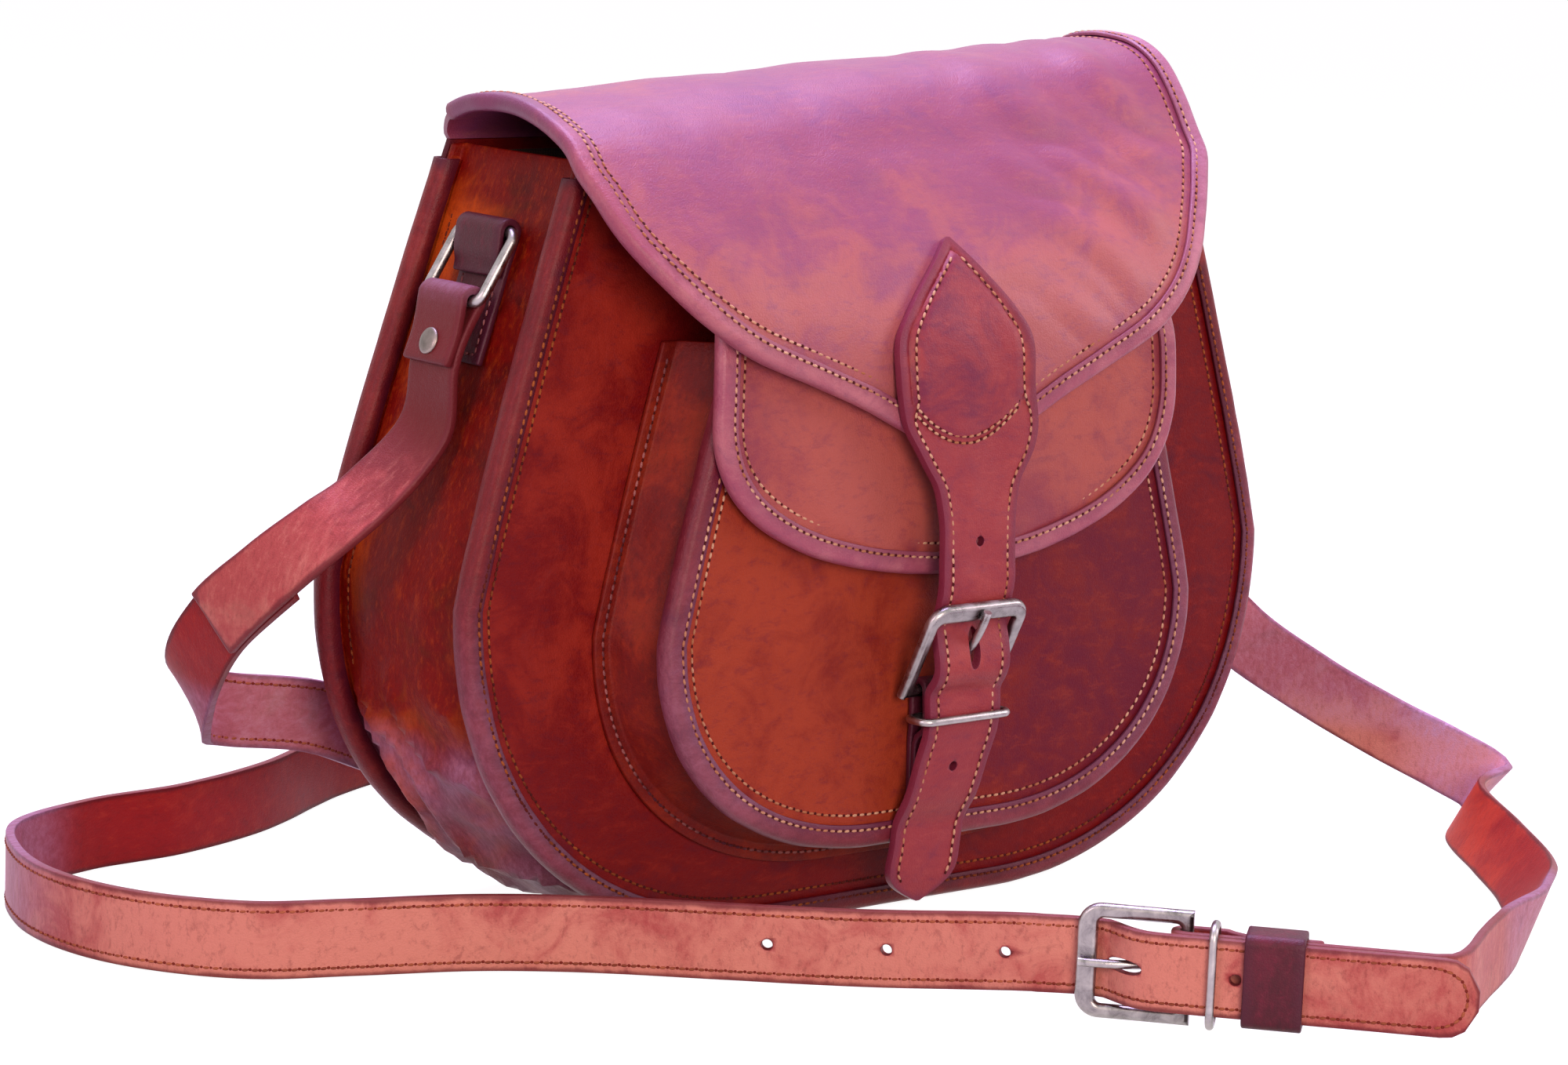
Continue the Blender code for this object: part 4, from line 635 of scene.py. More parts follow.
# %% [markdown]
# ## Stitches
#
# Each stitch is a small waxed thread that dives into the leather at both ends. A seam is a line on the
# surface, with the outward direction at each point.

# %%
STITCH_LENGTH, STITCH_WIDTH, STITCH_PITCH = 0.0017, 0.0008, 0.0025


def stitch_shape(length, width, pitch):
    """One thread with a flat spot beside it for the punched hole, which the hole attribute marks; the thread
    material paints that spot dark as painted shade.
    """
    shape = bmesh.new()
    hole = shape.verts.layers.float.new("hole")
    bmesh.ops.create_uvsphere(shape, u_segments=8, v_segments=5, radius=0.5)
    bmesh.ops.rotate(shape, verts=shape.verts, cent=(0, 0, 0), matrix=Matrix.Rotation(math.pi / 2, 3, "X"))
    bmesh.ops.scale(shape, verts=shape.verts, vec=(width, length, width * 0.8))
    spot = bmesh.ops.create_uvsphere(shape, u_segments=6, v_segments=4, radius=0.5)["verts"]
    bmesh.ops.scale(shape, verts=spot, vec=(width * 1.1, pitch - length + 0.0002, width * 0.3))
    bmesh.ops.translate(shape, verts=spot, vec=(0, pitch / 2, 0))
    for vertex in spot:
        vertex[hole] = 1.0
    return mesh_of(shape, "stitch_shape")


def sew(name, seams, material, body, slot_name):
    """One object with every stitch of some seams: each seam is a list of (point, outward) pairs."""
    pitch = STITCH_PITCH
    pattern = stitch_shape(STITCH_LENGTH, STITCH_WIDTH, pitch)
    shape = bmesh.new()
    count = 0
    for seam in seams:
        travelled = pitch / 2
        for (start, up_start), (end, up_end) in zip(seam, seam[1:]):
            run = end - start
            while travelled < run.length:
                share = travelled / run.length
                up = up_start.lerp(up_end, share).normalized()
                along = run.normalized()
                side = along.cross(up).normalized()
                turn = 0.10 + 0.05 * math.sin(count * 2.3)
                first = len(shape.verts)
                shape.from_mesh(pattern)
                shape.verts.ensure_lookup_table()
                place = axes(start + run * share, side, along, side.cross(along))
                place = place @ Matrix.Rotation(turn, 4, "Z")
                for vertex in shape.verts[first:]:
                    vertex.co = place @ vertex.co
                travelled += pitch
                count += 1
            travelled -= run.length
    mesh = mesh_of(shape, name)
    mesh.shade_smooth()
    bpy.data.meshes.remove(pattern)
    seat(add_object(name, mesh, material), body, slot_name)
    print(name, count, "stitches")


def seam_on(outline_points, matrix, y, outward):
    """A seam that follows an outline on a flat panel."""
    out = (matrix.to_3x3() @ Vector(outward)).normalized()
    return [(matrix @ Vector((x, y, height)), out) for x, height in outline_points]


# %% [markdown]
# ## Front and back panels
#
# Each panel is a fan of rows that run parallel to its edge and close towards the middle of its rim.

# %%


def fan_rows(outline, depth, centre_height, steps=26):
    """Rows from an outline towards a point on the rim, on a flat panel at one depth."""
    rows = []
    for step in range(steps):
        share = 1 - (1 - step / (steps - 1)) ** 1.25
        rows.append([Vector((x * (1 - share), depth, height + (centre_height - height) * share))
                     for x, height in outline])
    return rows


def close_fan(item):
    shape = bmesh.new()
    shape.from_mesh(item.data)
    bmesh.ops.remove_doubles(shape, verts=shape.verts, dist=0.00001)
    bmesh.ops.recalc_face_normals(shape, faces=shape.faces)
    shape.to_mesh(item.data)
    shape.free()
    item.data.shade_smooth()


def make_panel(name, side, matrix):
    top = BODY_HEIGHT + (GAP * 2.4 if side > 0 else 0.0)
    rows = fan_rows(body_outline(-BINDING_INSET, top), side * PANEL_LEATHER / 2, top)
    item = grid(name + "_panel_hide", placed(rows, matrix), PANEL, "S")
    close_fan(item)
    facing = facing_of(item, 1, side)

    def swell(p, e):
        """Inward by 0.1 mm at most, to clear the lining, and flat behind the pocket flap."""
        above = 1 - fade(0.10, 0.13, p.z) if side < 0 else 1.0
        soft = max(0.0009 * waves(p, 0.045, 2.0) + 0.0004 * waves(p, 0.014, 5.0), -0.0001)
        return facing * soft * fade(0.008, 0.022, e) * above

    press(item, swell)
    if side < 0:
        tint(item, lambda p, e: -0.14 * fade(0.07, 0.03, p.z)
             + 0.20 * bump_at(p, (-0.075, -0.036, 0.05), (0.03, 1, 0.05)) - 0.22 * fade(0.05, 0.13, p.x)
             + 0.12 * bump_at(p, (-0.085, -0.036, 0.12), (0.022, 1, 0.04)))
    thicken(item, PANEL_LEATHER)
    return seat(item, "bag", "panel leather", name + "_panel")


make_panel("front", -1, FRONT)
make_panel("back", 1, BACK)
print("panels done")

# %% [markdown]
# ## Edge bindings
#
# A rolled strip over each seam: a face leg, a round nose and an inner leg. One row of stitches runs
# along the face leg, and one beside it on the panel.

# %%


def bound_rows(line, outward, normal, face, inner_face, half_stack):
    """A rolled strip round an edge. The section's points stay in order, or its wall would burst."""
    nose = BINDING_LEATHER / 2
    level = half_stack + GAP + nose
    turn = -nose - level * 0.9
    section = [(-face, level * 0.93), (-face * 0.82, level), (min(-face * 0.5, turn - 0.0004), level),
               (turn, level)]
    for step in range(7):
        angle = math.pi / 2 - math.pi * step / 6
        section.append((-nose - level * 0.62 + level * 0.62 * math.cos(angle), level * math.sin(angle)))
    section += [(-nose - level * 0.9, -level), (-inner_face, -level)]
    return [[point + away * reach + up * height for reach, height in section]
            for point, away, up in zip(line, outward, normal)]


def panel_binding(name, node, outline, stack, middle, inner_face, side, matrix, material, face):
    outer, inner = outline(0.0), outline(-face)
    line = [Vector((x, middle * side, height)) for x, height in outer]
    outward = [Vector((x - ix, 0.0, height - iz)) / face for (x, height), (ix, iz) in zip(outer, inner)]
    normal = [Vector((0.0, side, 0.0))] * len(line)
    rows = bound_rows(line, outward, normal, face, inner_face, stack / 2)
    item = grid(name, placed(rows, matrix), material)
    press(item, lambda p, e: 0.00022 * waves(p, 0.010, 3.0))
    # Painted sheen: pale lilac painted highlights low on the left front and on the lower right.
    paint_sheen(item, lambda p: 0.18 * fade(0.11, 0.06, p.z) * fade(-0.03, -0.08, p.x)
        * fade(0.02, -0.01, p.y)
        + 0.16 * fade(0.02, 0.10, p.x) * fade(0.15, 0.08, p.z))
    thicken(item, BINDING_LEATHER)
    return seat(item, "bag", "binding leather", node)


def body_rim(grow):
    return body_outline(grow, BODY_HEIGHT - BINDING_FACE / 2)


def pocket_rim(grow):
    return pocket_outline(grow, POCKET_RIM - BINDING_FACE / 2)


body_stack = PANEL_LEATHER + GAP + GUSSET_LEATHER
for side, name, matrix in ((-1, "front", FRONT), (1, "back", BACK)):
    panel_binding(name + "_rolled_edge", name + "_binding", body_rim, body_stack,
                  PANEL_LEATHER - body_stack / 2, SEAM_WIDTH - GAP * 3, side, matrix, EDGE, BODY_BINDING_FACE)
    face = side * (PANEL_LEATHER + GAP + BINDING_LEATHER)
    on_binding = seam_on(body_rim(-BODY_BINDING_FACE + SEAM_ON_EDGE), matrix, face, (0, side, 0))
    beside = body_rim(-BODY_BINDING_FACE - SEAM_BESIDE_EDGE)
    on_panel = seam_on(beside, matrix, side * PANEL_LEATHER, (0, side, 0))
    sew(name + "_panel_stitches", [on_binding, on_panel], BODY_THREAD, "bag", "binding leather")

# %% [markdown]
# ## Gusset and lining
#
# The long side wall is soft: it bellies out, and its two lower corners are crumpled, where the weight
# of the bag folds it. The lining is a cloth pouch that hangs a little clear of the panels.

# %%
GUSSET_LINE = -SEAM_WIDTH - GUSSET_LEATHER / 2


def gusset_rows():
    shares = [0.0] + [step / 28 for step in range(29)] + [1.0]
    grows = [-BINDING_INSET] + [GUSSET_LINE] * 29 + [-BINDING_INSET]
    columns = []
    for grow, depth_share in zip(grows, shares):
        crown = fade(0.06, 0.36, min(depth_share, 1 - depth_share)) if grow == GUSSET_LINE else 0.0
        column = []
        for (x, height), (full_x, full_height) in zip(body_outline(grow), body_outline(grow + GUSSET_CROWN)):
            swell = crown * gusset_crown(height) / GUSSET_CROWN
            reach = half_depth(height) - GAP - GUSSET_LEATHER / 2
            y = reach * (2 * depth_share - 1)
            column.append(Vector((x + (full_x - x) * swell, y, height + (full_height - height) * swell)))
        columns.append(column)
    return [list(row) for row in zip(*columns)]


def gusset_folds(p, e):
    """Pleats that rise from the floor, and slow waves elsewhere, but none under the right ring's strap."""
    soft = fade(0.009, 0.020, min(0.036 - abs(p.y), 0.03) + 0.004)
    low = fade(0.076, 0.062, p.z + 0.006 * waves(p, 0.02, 9.0)) * fade(0.03, 0.07, abs(p.x))
    ridge = 1 - abs(math.sin(p.y * 170 - p.z * 80 + 3.2 * waves(p, 0.030, 1.0))) ** 0.7
    crumple = low * (0.0016 + 0.0036 * ridge + 0.0010 * waves(p, 0.011, 7.0))
    calm = 1 - fade(0.06, 0.10, p.x) * fade(0.07, 0.10, p.z)
    return soft * (crumple + (0.0012 * waves(p, 0.035, 4.0) + 0.0006 * waves(p, 0.012, 6.0)) * calm)


gusset = grid("side_wall", gusset_rows(), GUSSET, "")
facing = 1 if gusset.data.vertices[20].normal.x < 0 else -1
press(gusset, lambda p, e: facing * gusset_folds(p, e) * fade(0.004, 0.012, p.z))
# The darkening towards the rim, from 186 mm up, is painted shade under the flap.
tint(gusset, lambda p, e: 0.26 * bump_at(p, (-0.105, 0.016, 0.190), (0.03, 0.014, 0.022))
     + 0.26 * bump_at(p, (-0.135, 0.022, 0.125), (0.03, 0.008, 0.03))
     + 0.22 * bump_at(p, (-0.13, 0.01, 0.045), (0.03, 0.012, 0.02))
     - 0.30 * bump_at(p, (-0.12, -0.016, 0.15), (0.03, 0.016, 0.05)) - 0.30 * fade(0.186, 0.204, p.z)
     + 0.02 * fade(0.075, 0.055, p.z) - 0.06)
# Painted sheen: pale lilac painted highlight on the crumpled lower left corner.
paint_sheen(gusset, lambda p: fade(0.060, 0.050, p.z + 0.006 * waves(p, 0.02, 9.0))
    * fade(-0.02, -0.06, p.x) * (0.10 + 0.42 * max(waves(p, 0.012, 5.0) + 0.5, 0.0)))
thicken(gusset, GUSSET_LEATHER)
seat(gusset, "bag", "gusset leather", "gusset")


def gusset_seam(depth_from_edge, side):
    """A seam on the gusset, a set distance in from the front or the back panel."""
    plain, wide = body_outline(GUSSET_LINE), body_outline(GUSSET_LINE + 0.001)
    seam = []
    for (x, height), (wide_x, wide_height) in zip(plain, wide):
        if height > BODY_HEIGHT - 0.006 or height < 0.012:
            continue
        out = Vector((wide_x - x, 0.0, wide_height - height)).normalized()
        y = side * (half_depth(height) - depth_from_edge)
        crown = fade(0.06, 0.36, depth_from_edge / (2 * half_depth(height))) * gusset_crown(height)
        seam.append((Vector((x, y, height)) + out * (crown + GUSSET_LEATHER / 2), out))
    middle = min(range(len(seam)), key=lambda i: abs(seam[i][0].x))
    return [seam[:middle], seam[middle + 1:]]


sew("gusset_stitches", gusset_seam(0.0065, -1) + gusset_seam(0.0065, 1), BODY_THREAD, "bag", "gusset leather")


def slack_at(height):
    """0 at the lining's rim and 1 from 30 mm below the mouth on."""
    return fade(BODY_HEIGHT - LINING_DROP, BODY_HEIGHT - 0.03, height)


def lining_reach(height):
    return half_depth(height) - GAP - LINING_CLOTH - LINING_PLAY * slack_at(height)


def make_lining():
    """Cloth pouch: a strip round the inside and a panel at the front and the back."""
    rim = BODY_HEIGHT - LINING_DROP
    outline = body_outline(-SEAM_WIDTH - GUSSET_LEATHER - GAP * 2 - LINING_CLOTH / 2, rim)
    rows = [[Vector((x, lining_reach(height) * (step / 12 * 2 - 1), height)) for step in range(13)]
            for x, height in outline]
    strip = grid("lining_cloth_piece", rows, CLOTH, "")
    panels = []
    for side in (-1, 1):
        rows = fan_rows(outline, 0.0, rim, 20)
        for row in rows:
            for point in row:
                point.y = side * lining_reach(point.z)
        panels.append(grid("lining_side_%d" % side, rows, CLOTH, ""))
    with bpy.context.temp_override(active_object=strip, selected_editable_objects=[strip] + panels):
        bpy.ops.object.join()
    close_fan(strip)
    strip.data.update()
    for vertex in strip.data.vertices:
        inward = -0.0012 * (0.5 + waves(vertex.co, 0.03, 8.0)) * slack_at(vertex.co.z)
        vertex.co.y += math.copysign(inward, vertex.co.y) if abs(vertex.co.y) > 0.01 else 0.0
    wall = strip.modifiers.new("Cloth", "SOLIDIFY")
    wall.thickness = LINING_CLOTH
    wall.offset = 0.0
    settle(strip)
    strip.data.shade_smooth()
    return seat(strip, "bag", "lining cloth", "lining")


make_lining()
print("body done")

# %% [markdown]
# ## Front pocket
#
# A bent strip is turned out onto the front panel and carries the pocket's face, bound like the body.

# %%
pocket_face = PANEL_LEATHER + POCKET_DEPTH


def make_pocket_front():
    rows = fan_rows(pocket_outline(-BINDING_INSET), -pocket_face + POCKET_LEATHER / 2, POCKET_RIM)
    item = grid("pocket_face", placed(rows, FRONT), POCKET, "S")
    close_fan(item)
    facing = facing_of(item, 1, -1)
    press(item, lambda p, e: facing * (0.0007 * waves(p, 0.04, 12.0) + 0.0003 * waves(p, 0.012, 15.0))
          * fade(0.008, 0.020, e))
    tint(item, lambda p, e: 0.16 * fade(0.015, -0.02, p.x) - 0.56 * fade(-0.005, 0.035, p.x))
    thicken(item, POCKET_LEATHER)
    return seat(item, "bag", "pocket leather", "pocket_front")


def make_pocket_wall():
    flange = PANEL_LEATHER + GAP + POCKET_LEATHER / 2
    back = pocket_face - POCKET_LEATHER - GAP - POCKET_LEATHER / 2
    wall = -SEAM_WIDTH - POCKET_LEATHER / 2
    section = [(POCKET_SPLAY + POCKET_FLANGE, flange), (POCKET_SPLAY, flange),
               ((POCKET_SPLAY + wall) / 2, flange + (back - flange) * 0.4), (wall, back - SEAM_WIDTH * 0.7),
               (wall, back), (-BINDING_INSET, back)]
    fine = []
    for (a, b), (c, d), pieces in zip(section, section[1:], (2, 8, 5, 2, 2)):
        fine += [(a + (c - a) * i / pieces, b + (d - b) * i / pieces) for i in range(pieces)]
    fine.append(section[-1])
    columns = [[Vector((x, -level, height)) for x, height in pocket_outline(grow)] for grow, level in fine]
    item = grid("pocket_wall", placed([list(row) for row in zip(*columns)], FRONT), POCKET_SIDE, "")
    middle = -(flange + back) / 2 - BASE_DEPTH / 2
    press(item, lambda p, e: 0.0009 * waves(p, 0.011, 21.0)
          * fade(0.010, 0.004, abs(p.y - middle - p.z * math.tan(LEAN))))
    thicken(item, POCKET_LEATHER)
    return seat(item, "bag", "pocket leather", "pocket_gusset")


make_pocket_front()
make_pocket_wall()
pocket_stack = POCKET_LEATHER * 2 + GAP
panel_binding("pocket_rolled_edge", "pocket_binding", pocket_rim, pocket_stack,
              pocket_face - pocket_stack / 2, SEAM_WIDTH - GAP * 2, -1, FRONT, POCKET_EDGE,
              POCKET_BINDING_FACE)
on_edge = pocket_rim(-POCKET_BINDING_FACE + SEAM_ON_POCKET_EDGE)
on_binding = seam_on(on_edge, FRONT, -pocket_face - GAP - BINDING_LEATHER, (0, -1, 0))
on_front = seam_on(pocket_rim(-POCKET_BINDING_FACE - SEAM_BESIDE_EDGE), FRONT, -pocket_face, (0, -1, 0))
sew("pocket_stitches", [on_binding, on_front], THREAD, "bag", "binding leather")
flange = pocket_rim(POCKET_SPLAY + POCKET_FLANGE * 0.5)
flange_seam = seam_on(flange, FRONT, -PANEL_LEATHER - GAP - POCKET_LEATHER, (0, -1, 0))
sew("pocket_flange_stitches", [flange_seam], DARK_THREAD, "bag", "pocket leather")
print("pocket done")

# %% [markdown]
# ## The two flaps
#
# Each is a sheet cut to an outline, pressed into shallow folds and bound round its free edge. The large
# one starts at the top of the back, the small one on the front panel above the pocket.

# %%


def flap_rows(line, half_width, columns):
    rows = []
    for point in line:
        half = point.x * half_width
        rows.append([Vector((half * (2 * c / columns - 1), point.y, point.z)) for c in range(columns + 1)])
    return rows


def edge_of(rows):
    """Edge of a flap down one side, round the tip and up the other: places, outward and normal."""
    line = [row[0] for row in rows] + list(reversed([row[-1] for row in rows]))
    inner = [row[1] for row in rows] + list(reversed([row[-2] for row in rows]))
    outward, normal = [], []
    for index, point in enumerate(line):
        run = (line[min(index + 1, len(line) - 1)] - line[max(index - 1, 0)]).normalized()
        up = run.cross(inner[index] - point).normalized()
        outward.append(up.cross(run).normalized() * -1)
        normal.append(up)
    return line, outward, normal


def bind_flap(name, rows, cut, level, tone=None, painted_sheen=None):
    """Rolled edge of a flap and its two rows of stitches, less some points at each end by the fold."""
    line, outward, normal = edge_of(rows)
    for _ in range(TIP_ROUNDINGS):
        outward = [(a + b + c).normalized()
                   for a, b, c in zip([outward[0]] + outward, outward, outward[1:] + [outward[-1]])]
    outer = [point + away * BINDING_INSET for point, away in zip(line, outward)]
    outer, outward, normal = outer[cut:-cut], outward[cut:-cut], normal[cut:-cut]
    bound = bound_rows(outer, outward, normal, FLAP_BINDING_FACE, SEAM_WIDTH, level)
    edge = grid(name + "_rolled_edge", bound, FLAP_EDGE)
    press(edge, lambda p, e: 0.0002 * waves(p, 0.010, 3.0))
    if tone:
        tint(edge, tone)
        paint_sheen(edge, painted_sheen)
    thicken(edge, BINDING_LEATHER)
    seat(edge, name, "binding leather", name + "_binding")
    seams = [[(point - away * inset + up * height, up) for point, away, up in zip(outer, outward, normal)]
             for inset, height in zip(FLAP_SEAM_INSETS, (level + GAP + BINDING_LEATHER, level))]
    sew(name + "_stitches", seams, THREAD, name, "flap leather")


def flap_point(depth, rise, half):
    inside = -FLAP_LEATHER / 2
    y = -BACK_FACE - depth * FLAP_FRONT if depth > 0 else inside - (1 + depth) * (BACK_FACE + inside)
    return half, y, rise * (FLAP_RISE if rise > 0 else FLAP_DROP)


def share_line(shares, place, count):
    """Evenly spaced rows of a flap. Half-widths are shares, so they are followed apart."""
    points = [Vector(place(*row)) for row in shares]
    scaled = [Vector((point.x * 0.1, point.y, point.z)) for point in points]
    fine = even_line(smooth_line(scaled, LINE_STEP), count)
    return [Vector((point.x * 10, point.y, point.z)) for point in fine]


def worn_form(point):
    """The used flap stands higher towards its right end and hangs fuller left of its point."""
    crown = fade(FOLD_HEIGHT, FOLD_HEIGHT + FLAP_RISE, point.z)
    lift = FLAP_RISE * crown * (0.98 * (point.x / FLAP_WIDTH + 0.5) - 0.27)
    drop = (FOLD_HEIGHT - point.z) / FLAP_DROP
    if point.x < 0:
        wider = (0.075 * fade(-0.05, 0.30, drop) * fade(1.0, 0.62, drop)
                 + 0.02 * fade(0.0, 0.01, point.y))
    else:
        wider = -0.020 * fade(0.55, 0.25, drop)
    return Vector((point.x * (1 + wider), point.y, point.z + lift))


def make_flap():
    along, across = FLAP_CUTS
    line = share_line(FLAP_SHARES, flap_point, along)
    rows = placed(flap_rows(line, FLAP_WIDTH / 2 - BINDING_INSET, across), FLAP_HINGE)
    rows = [[worn_form(point) for point in row] for row in rows]
    item = grid("top_flap", rows, FLAP, "LRE")

    def folds(p, e):
        right = fade(0.0, 0.07, p.x) * fade(0.145, 0.17, p.z)
        pull = math.sin((p.x * 0.55 + p.z * 0.8) * 300 + 2.5 * waves(p, 0.05, 30.0))
        soft = fade(0.006, 0.02, e) * fade(0.026, 0.012, p.y)
        return soft * (0.0010 * pull * right + 0.0016 * waves(p, 0.05, 31.0) + 0.0006 * waves(p, 0.016, 33.0))

    facing = facing_of(item, 2, 1)
    press(item, lambda p, e: facing * abs(folds(p, e)))
    # The darker, more mauve patch at the top middle is painted lilac sheen of the top light.
    tint(item, lambda p, e: 0.22 * fade(0.20, 0.165, p.z)
         + 0.14 * bump_at(p, (0.06, -0.05, 0.19), (0.03, 0.05, 0.02))
         - 0.26 * bump_at(p, (0.0, -0.03, 0.225), (0.06, 0.03, 0.02)) - 0.20 * fade(0.0, 0.03, p.y))
    thicken(item, FLAP_LEATHER)
    seat(item, "flap", "flap leather", "flap")
    # On its rolled edge the low tone at the rear left end is painted shade, and the pale lilac down the right
    # side is a painted highlight (painted sheen).
    bind_flap("flap", rows, 9, FLAP_LEATHER / 2,
              lambda p, e: -0.86 * fade(-0.045, -0.005, p.y) * fade(0.08, 0.04, p.x),
              lambda p: 0.40 * fade(0.07, 0.12, p.x))


def make_pocket_flap():
    reach = POCKET_DEPTH + BINDING_STACK * 2 + POCKET_LEATHER / 2
    start = POCKET_LEATHER / 2

    def place(out, fall, half):
        return half, -start - out * (reach - start), -fall * POCKET_FLAP_DROP

    along, across = SMALL_FLAP_CUTS
    line = share_line(POCKET_FLAP_SHARES, place, along)
    rows = placed(flap_rows(line, POCKET_FLAP_WIDTH / 2 - BINDING_INSET, across), POCKET_FLAP_HINGE)
    item = grid("small_flap", rows, SMALL_FLAP, "LRE")
    facing = facing_of(item, 1, -1)
    press(item, lambda p, e: facing * fade(0.008, 0.02, e) * fade(0.170, 0.150, p.z)
          * (0.0006 + 0.0006 * waves(p, 0.03, 41.0) + 0.0003 * waves(p, 0.01, 42.0)))
    tint(item, lambda p, e: 0.26 * bump_at(p, (-0.03, -0.06, 0.12), (0.03, 1, 0.02))
         + 0.2 * bump_at(p, (0.05, -0.06, 0.13), (0.03, 1, 0.03)))
    thicken(item, POCKET_LEATHER)
    seat(item, "pocket_flap", "flap leather", "pocket_flap")
    bind_flap("pocket_flap", rows, 13, POCKET_LEATHER / 2)


make_flap()
make_pocket_flap()
print("flaps done")

# %% [markdown]
# ## Metal fittings
#
# Buckle frames and rings are bent and cast shapes with well-rounded edges.

# %%


def rounded_rectangle(low_x, high_x, low_y, high_y, corner, steps=8):
    points = []
    corners = ((high_x - corner, high_y - corner, 0), (low_x + corner, high_y - corner, 1),
               (low_x + corner, low_y + corner, 2), (high_x - corner, low_y + corner, 3))
    for centre_x, centre_y, quarter in corners:
        for step in range(steps + 1):
            angle = math.pi / 2 * (quarter + step / steps)
            points.append((centre_x + corner * math.cos(angle), centre_y + corner * math.sin(angle)))
    return points


def curve_piece(name, splines, matrix, material, closed, **settings):
    """A filled or tubular curve turned into a mesh in its final place."""
    data = bpy.data.curves.new(name, "CURVE")
    for key, value in settings.items():
        setattr(data, key, value)
    for points in splines:
        spline = data.splines.new("POLY")
        spline.points.add(len(points) - 1)
        spline.use_cyclic_u = closed
        for target, point in zip(spline.points, points):
            target.co = (*point, 0.0, 1.0) if len(point) == 2 else (*point, 1.0)
    source = bpy.data.objects.new(name, data)
    bpy.context.scene.collection.objects.link(source)
    bpy.context.view_layer.update()
    depsgraph = bpy.context.evaluated_depsgraph_get()
    mesh = bpy.data.meshes.new_from_object(source.evaluated_get(depsgraph), depsgraph=depsgraph)
    bpy.data.objects.remove(source)
    bpy.data.curves.remove(data)
    mesh.transform(matrix)
    mesh.materials.clear()
    mesh.materials.append(material)
    mesh.shade_smooth()
    mesh.set_sharp_from_angle(angle=math.radians(50))
    return add_object(name, mesh)


def tube(name, points, diameter, matrix, closed=False):
    return curve_piece(name, [points], matrix, METAL, closed, dimensions="3D", bevel_depth=diameter / 2,
                       bevel_resolution=6, use_fill_caps=not closed)


def buckle_frame(name, strap_width, matrix):
    inner = strap_width / 2 + BUCKLE_SIDE_PLAY
    outer = inner + SIDE_BAR
    far = BUCKLE_LENGTH + BAR_RADIUS
    outline = rounded_rectangle(-outer, outer, -BAR_RADIUS, far + OUTER_BAR_EXTRA, BUCKLE_CORNER)
    for index, (x, y) in enumerate(outline):
        if y < BUCKLE_CORNER - BAR_RADIUS:
            outline[index] = (math.copysign(min(abs(x) + BUCKLE_CORNER, outer), x), y)
    window = rounded_rectangle(-inner, inner, BAR_RADIUS, far - BAR, BUCKLE_CORNER / 4)
    rounding = BAR * 0.42
    return curve_piece(name, [outline, window], matrix, METAL, True, dimensions="2D", fill_mode="BOTH",
                       extrude=BAR / 2 - rounding, bevel_depth=rounding, bevel_resolution=5, offset=-rounding)


def prong_line():
    loop = BAR_RADIUS + GAP + PRONG_WIRE / 2
    points = []
    for step in range(25):
        angle = math.radians(75 + 270 * step / 24)
        points.append(Vector((0.0, loop * math.cos(angle), loop * math.sin(angle))))
    rises = ((0.30, 0.08), (0.42, 0.30), (0.56, 0.58), (0.70, 0.85), (0.85, 1.0), (1.0, 1.04))
    tail = [points[-1]] + [Vector((0.0, along * BUCKLE_LENGTH, rise * loop)) for along, rise in rises]
    tail.append(Vector((0.0, BUCKLE_LENGTH + PRONG_REACH, loop)))
    return points[:-1] + smooth_line(tail, 0.001)


def keeper_loop(strap_width, top):
    side = strap_width / 2 + GAP * 5 + KEEPER_WIRE / 2
    return [(x, -KEEPER_SETBACK, out) for x, out in rounded_rectangle(-side, side, 0.0, top, KEEPER_CORNER)]


def ring_places(side):
    bar_x = gusset_face(TAB_HEIGHT) + GAP + TAB_LEATHER + RING_WIRE / 2 + GAP
    low_x = bar_x + RING_HEIGHT * math.sin(RING_LEAN)
    return (side * bar_x, TAB_HEIGHT), (side * low_x, TAB_HEIGHT - RING_HEIGHT * math.cos(RING_LEAN))


closure_top = BAR_RADIUS + GAP * 4 + PRONG_WIRE + STRAP_LEATHER + KEEPER_WIRE / 2
strap_over = BAR_RADIUS + GAP * 3 + STRAP_LEATHER * 1.5 + PRONG_WIRE * 0.2
strap_top = strap_over + STRAP_LEATHER / 2 + GAP + KEEPER_WIRE / 2
for name, width, top, place, fixed in (("closure", CLOSURE_WIDTH, closure_top, CLOSURE_FRAME, CLOSURE_SEAT),
                                       ("strap", STRAP_WIDTH, strap_top, STRAP_SEAT, STRAP_SEAT)):
    frame_piece = buckle_frame(name + "_frame", width, place)
    seat(frame_piece, name + "_buckle", "satin nickel", name + "_buckle_frame")
    prong = tube(name + "_prong_wire", prong_line(), PRONG_WIRE, place)
    seat(prong, name + "_prong", "satin nickel", name + "_buckle_prong")
    keeper = tube(name + "_keeper_wire", keeper_loop(width, top), KEEPER_WIRE, fixed, True)
    seat(keeper, "bag", "satin nickel", name + "_wire_keeper")
for side, name in ((-1, "left"), (1, "right")):
    (bar_x, bar_z), (low_x, low_z) = ring_places(side)
    along = Vector((low_x - bar_x, 0.0, low_z - bar_z)).normalized()
    across = Vector((0.0, 1.0, 0.0))
    place = axes(Vector((bar_x, 0.0, bar_z)), across, along, across.cross(along))
    outline = rounded_rectangle(-RING_WIDTH / 2, RING_WIDTH / 2, 0.0, RING_HEIGHT, RING_CORNER)
    ring = tube(name + "_wire_ring", [(x, y, 0.0) for x, y in outline], RING_WIRE, place, True)
    seat(ring, name + "_ring", "satin nickel", name + "_ring")
print("fittings done")

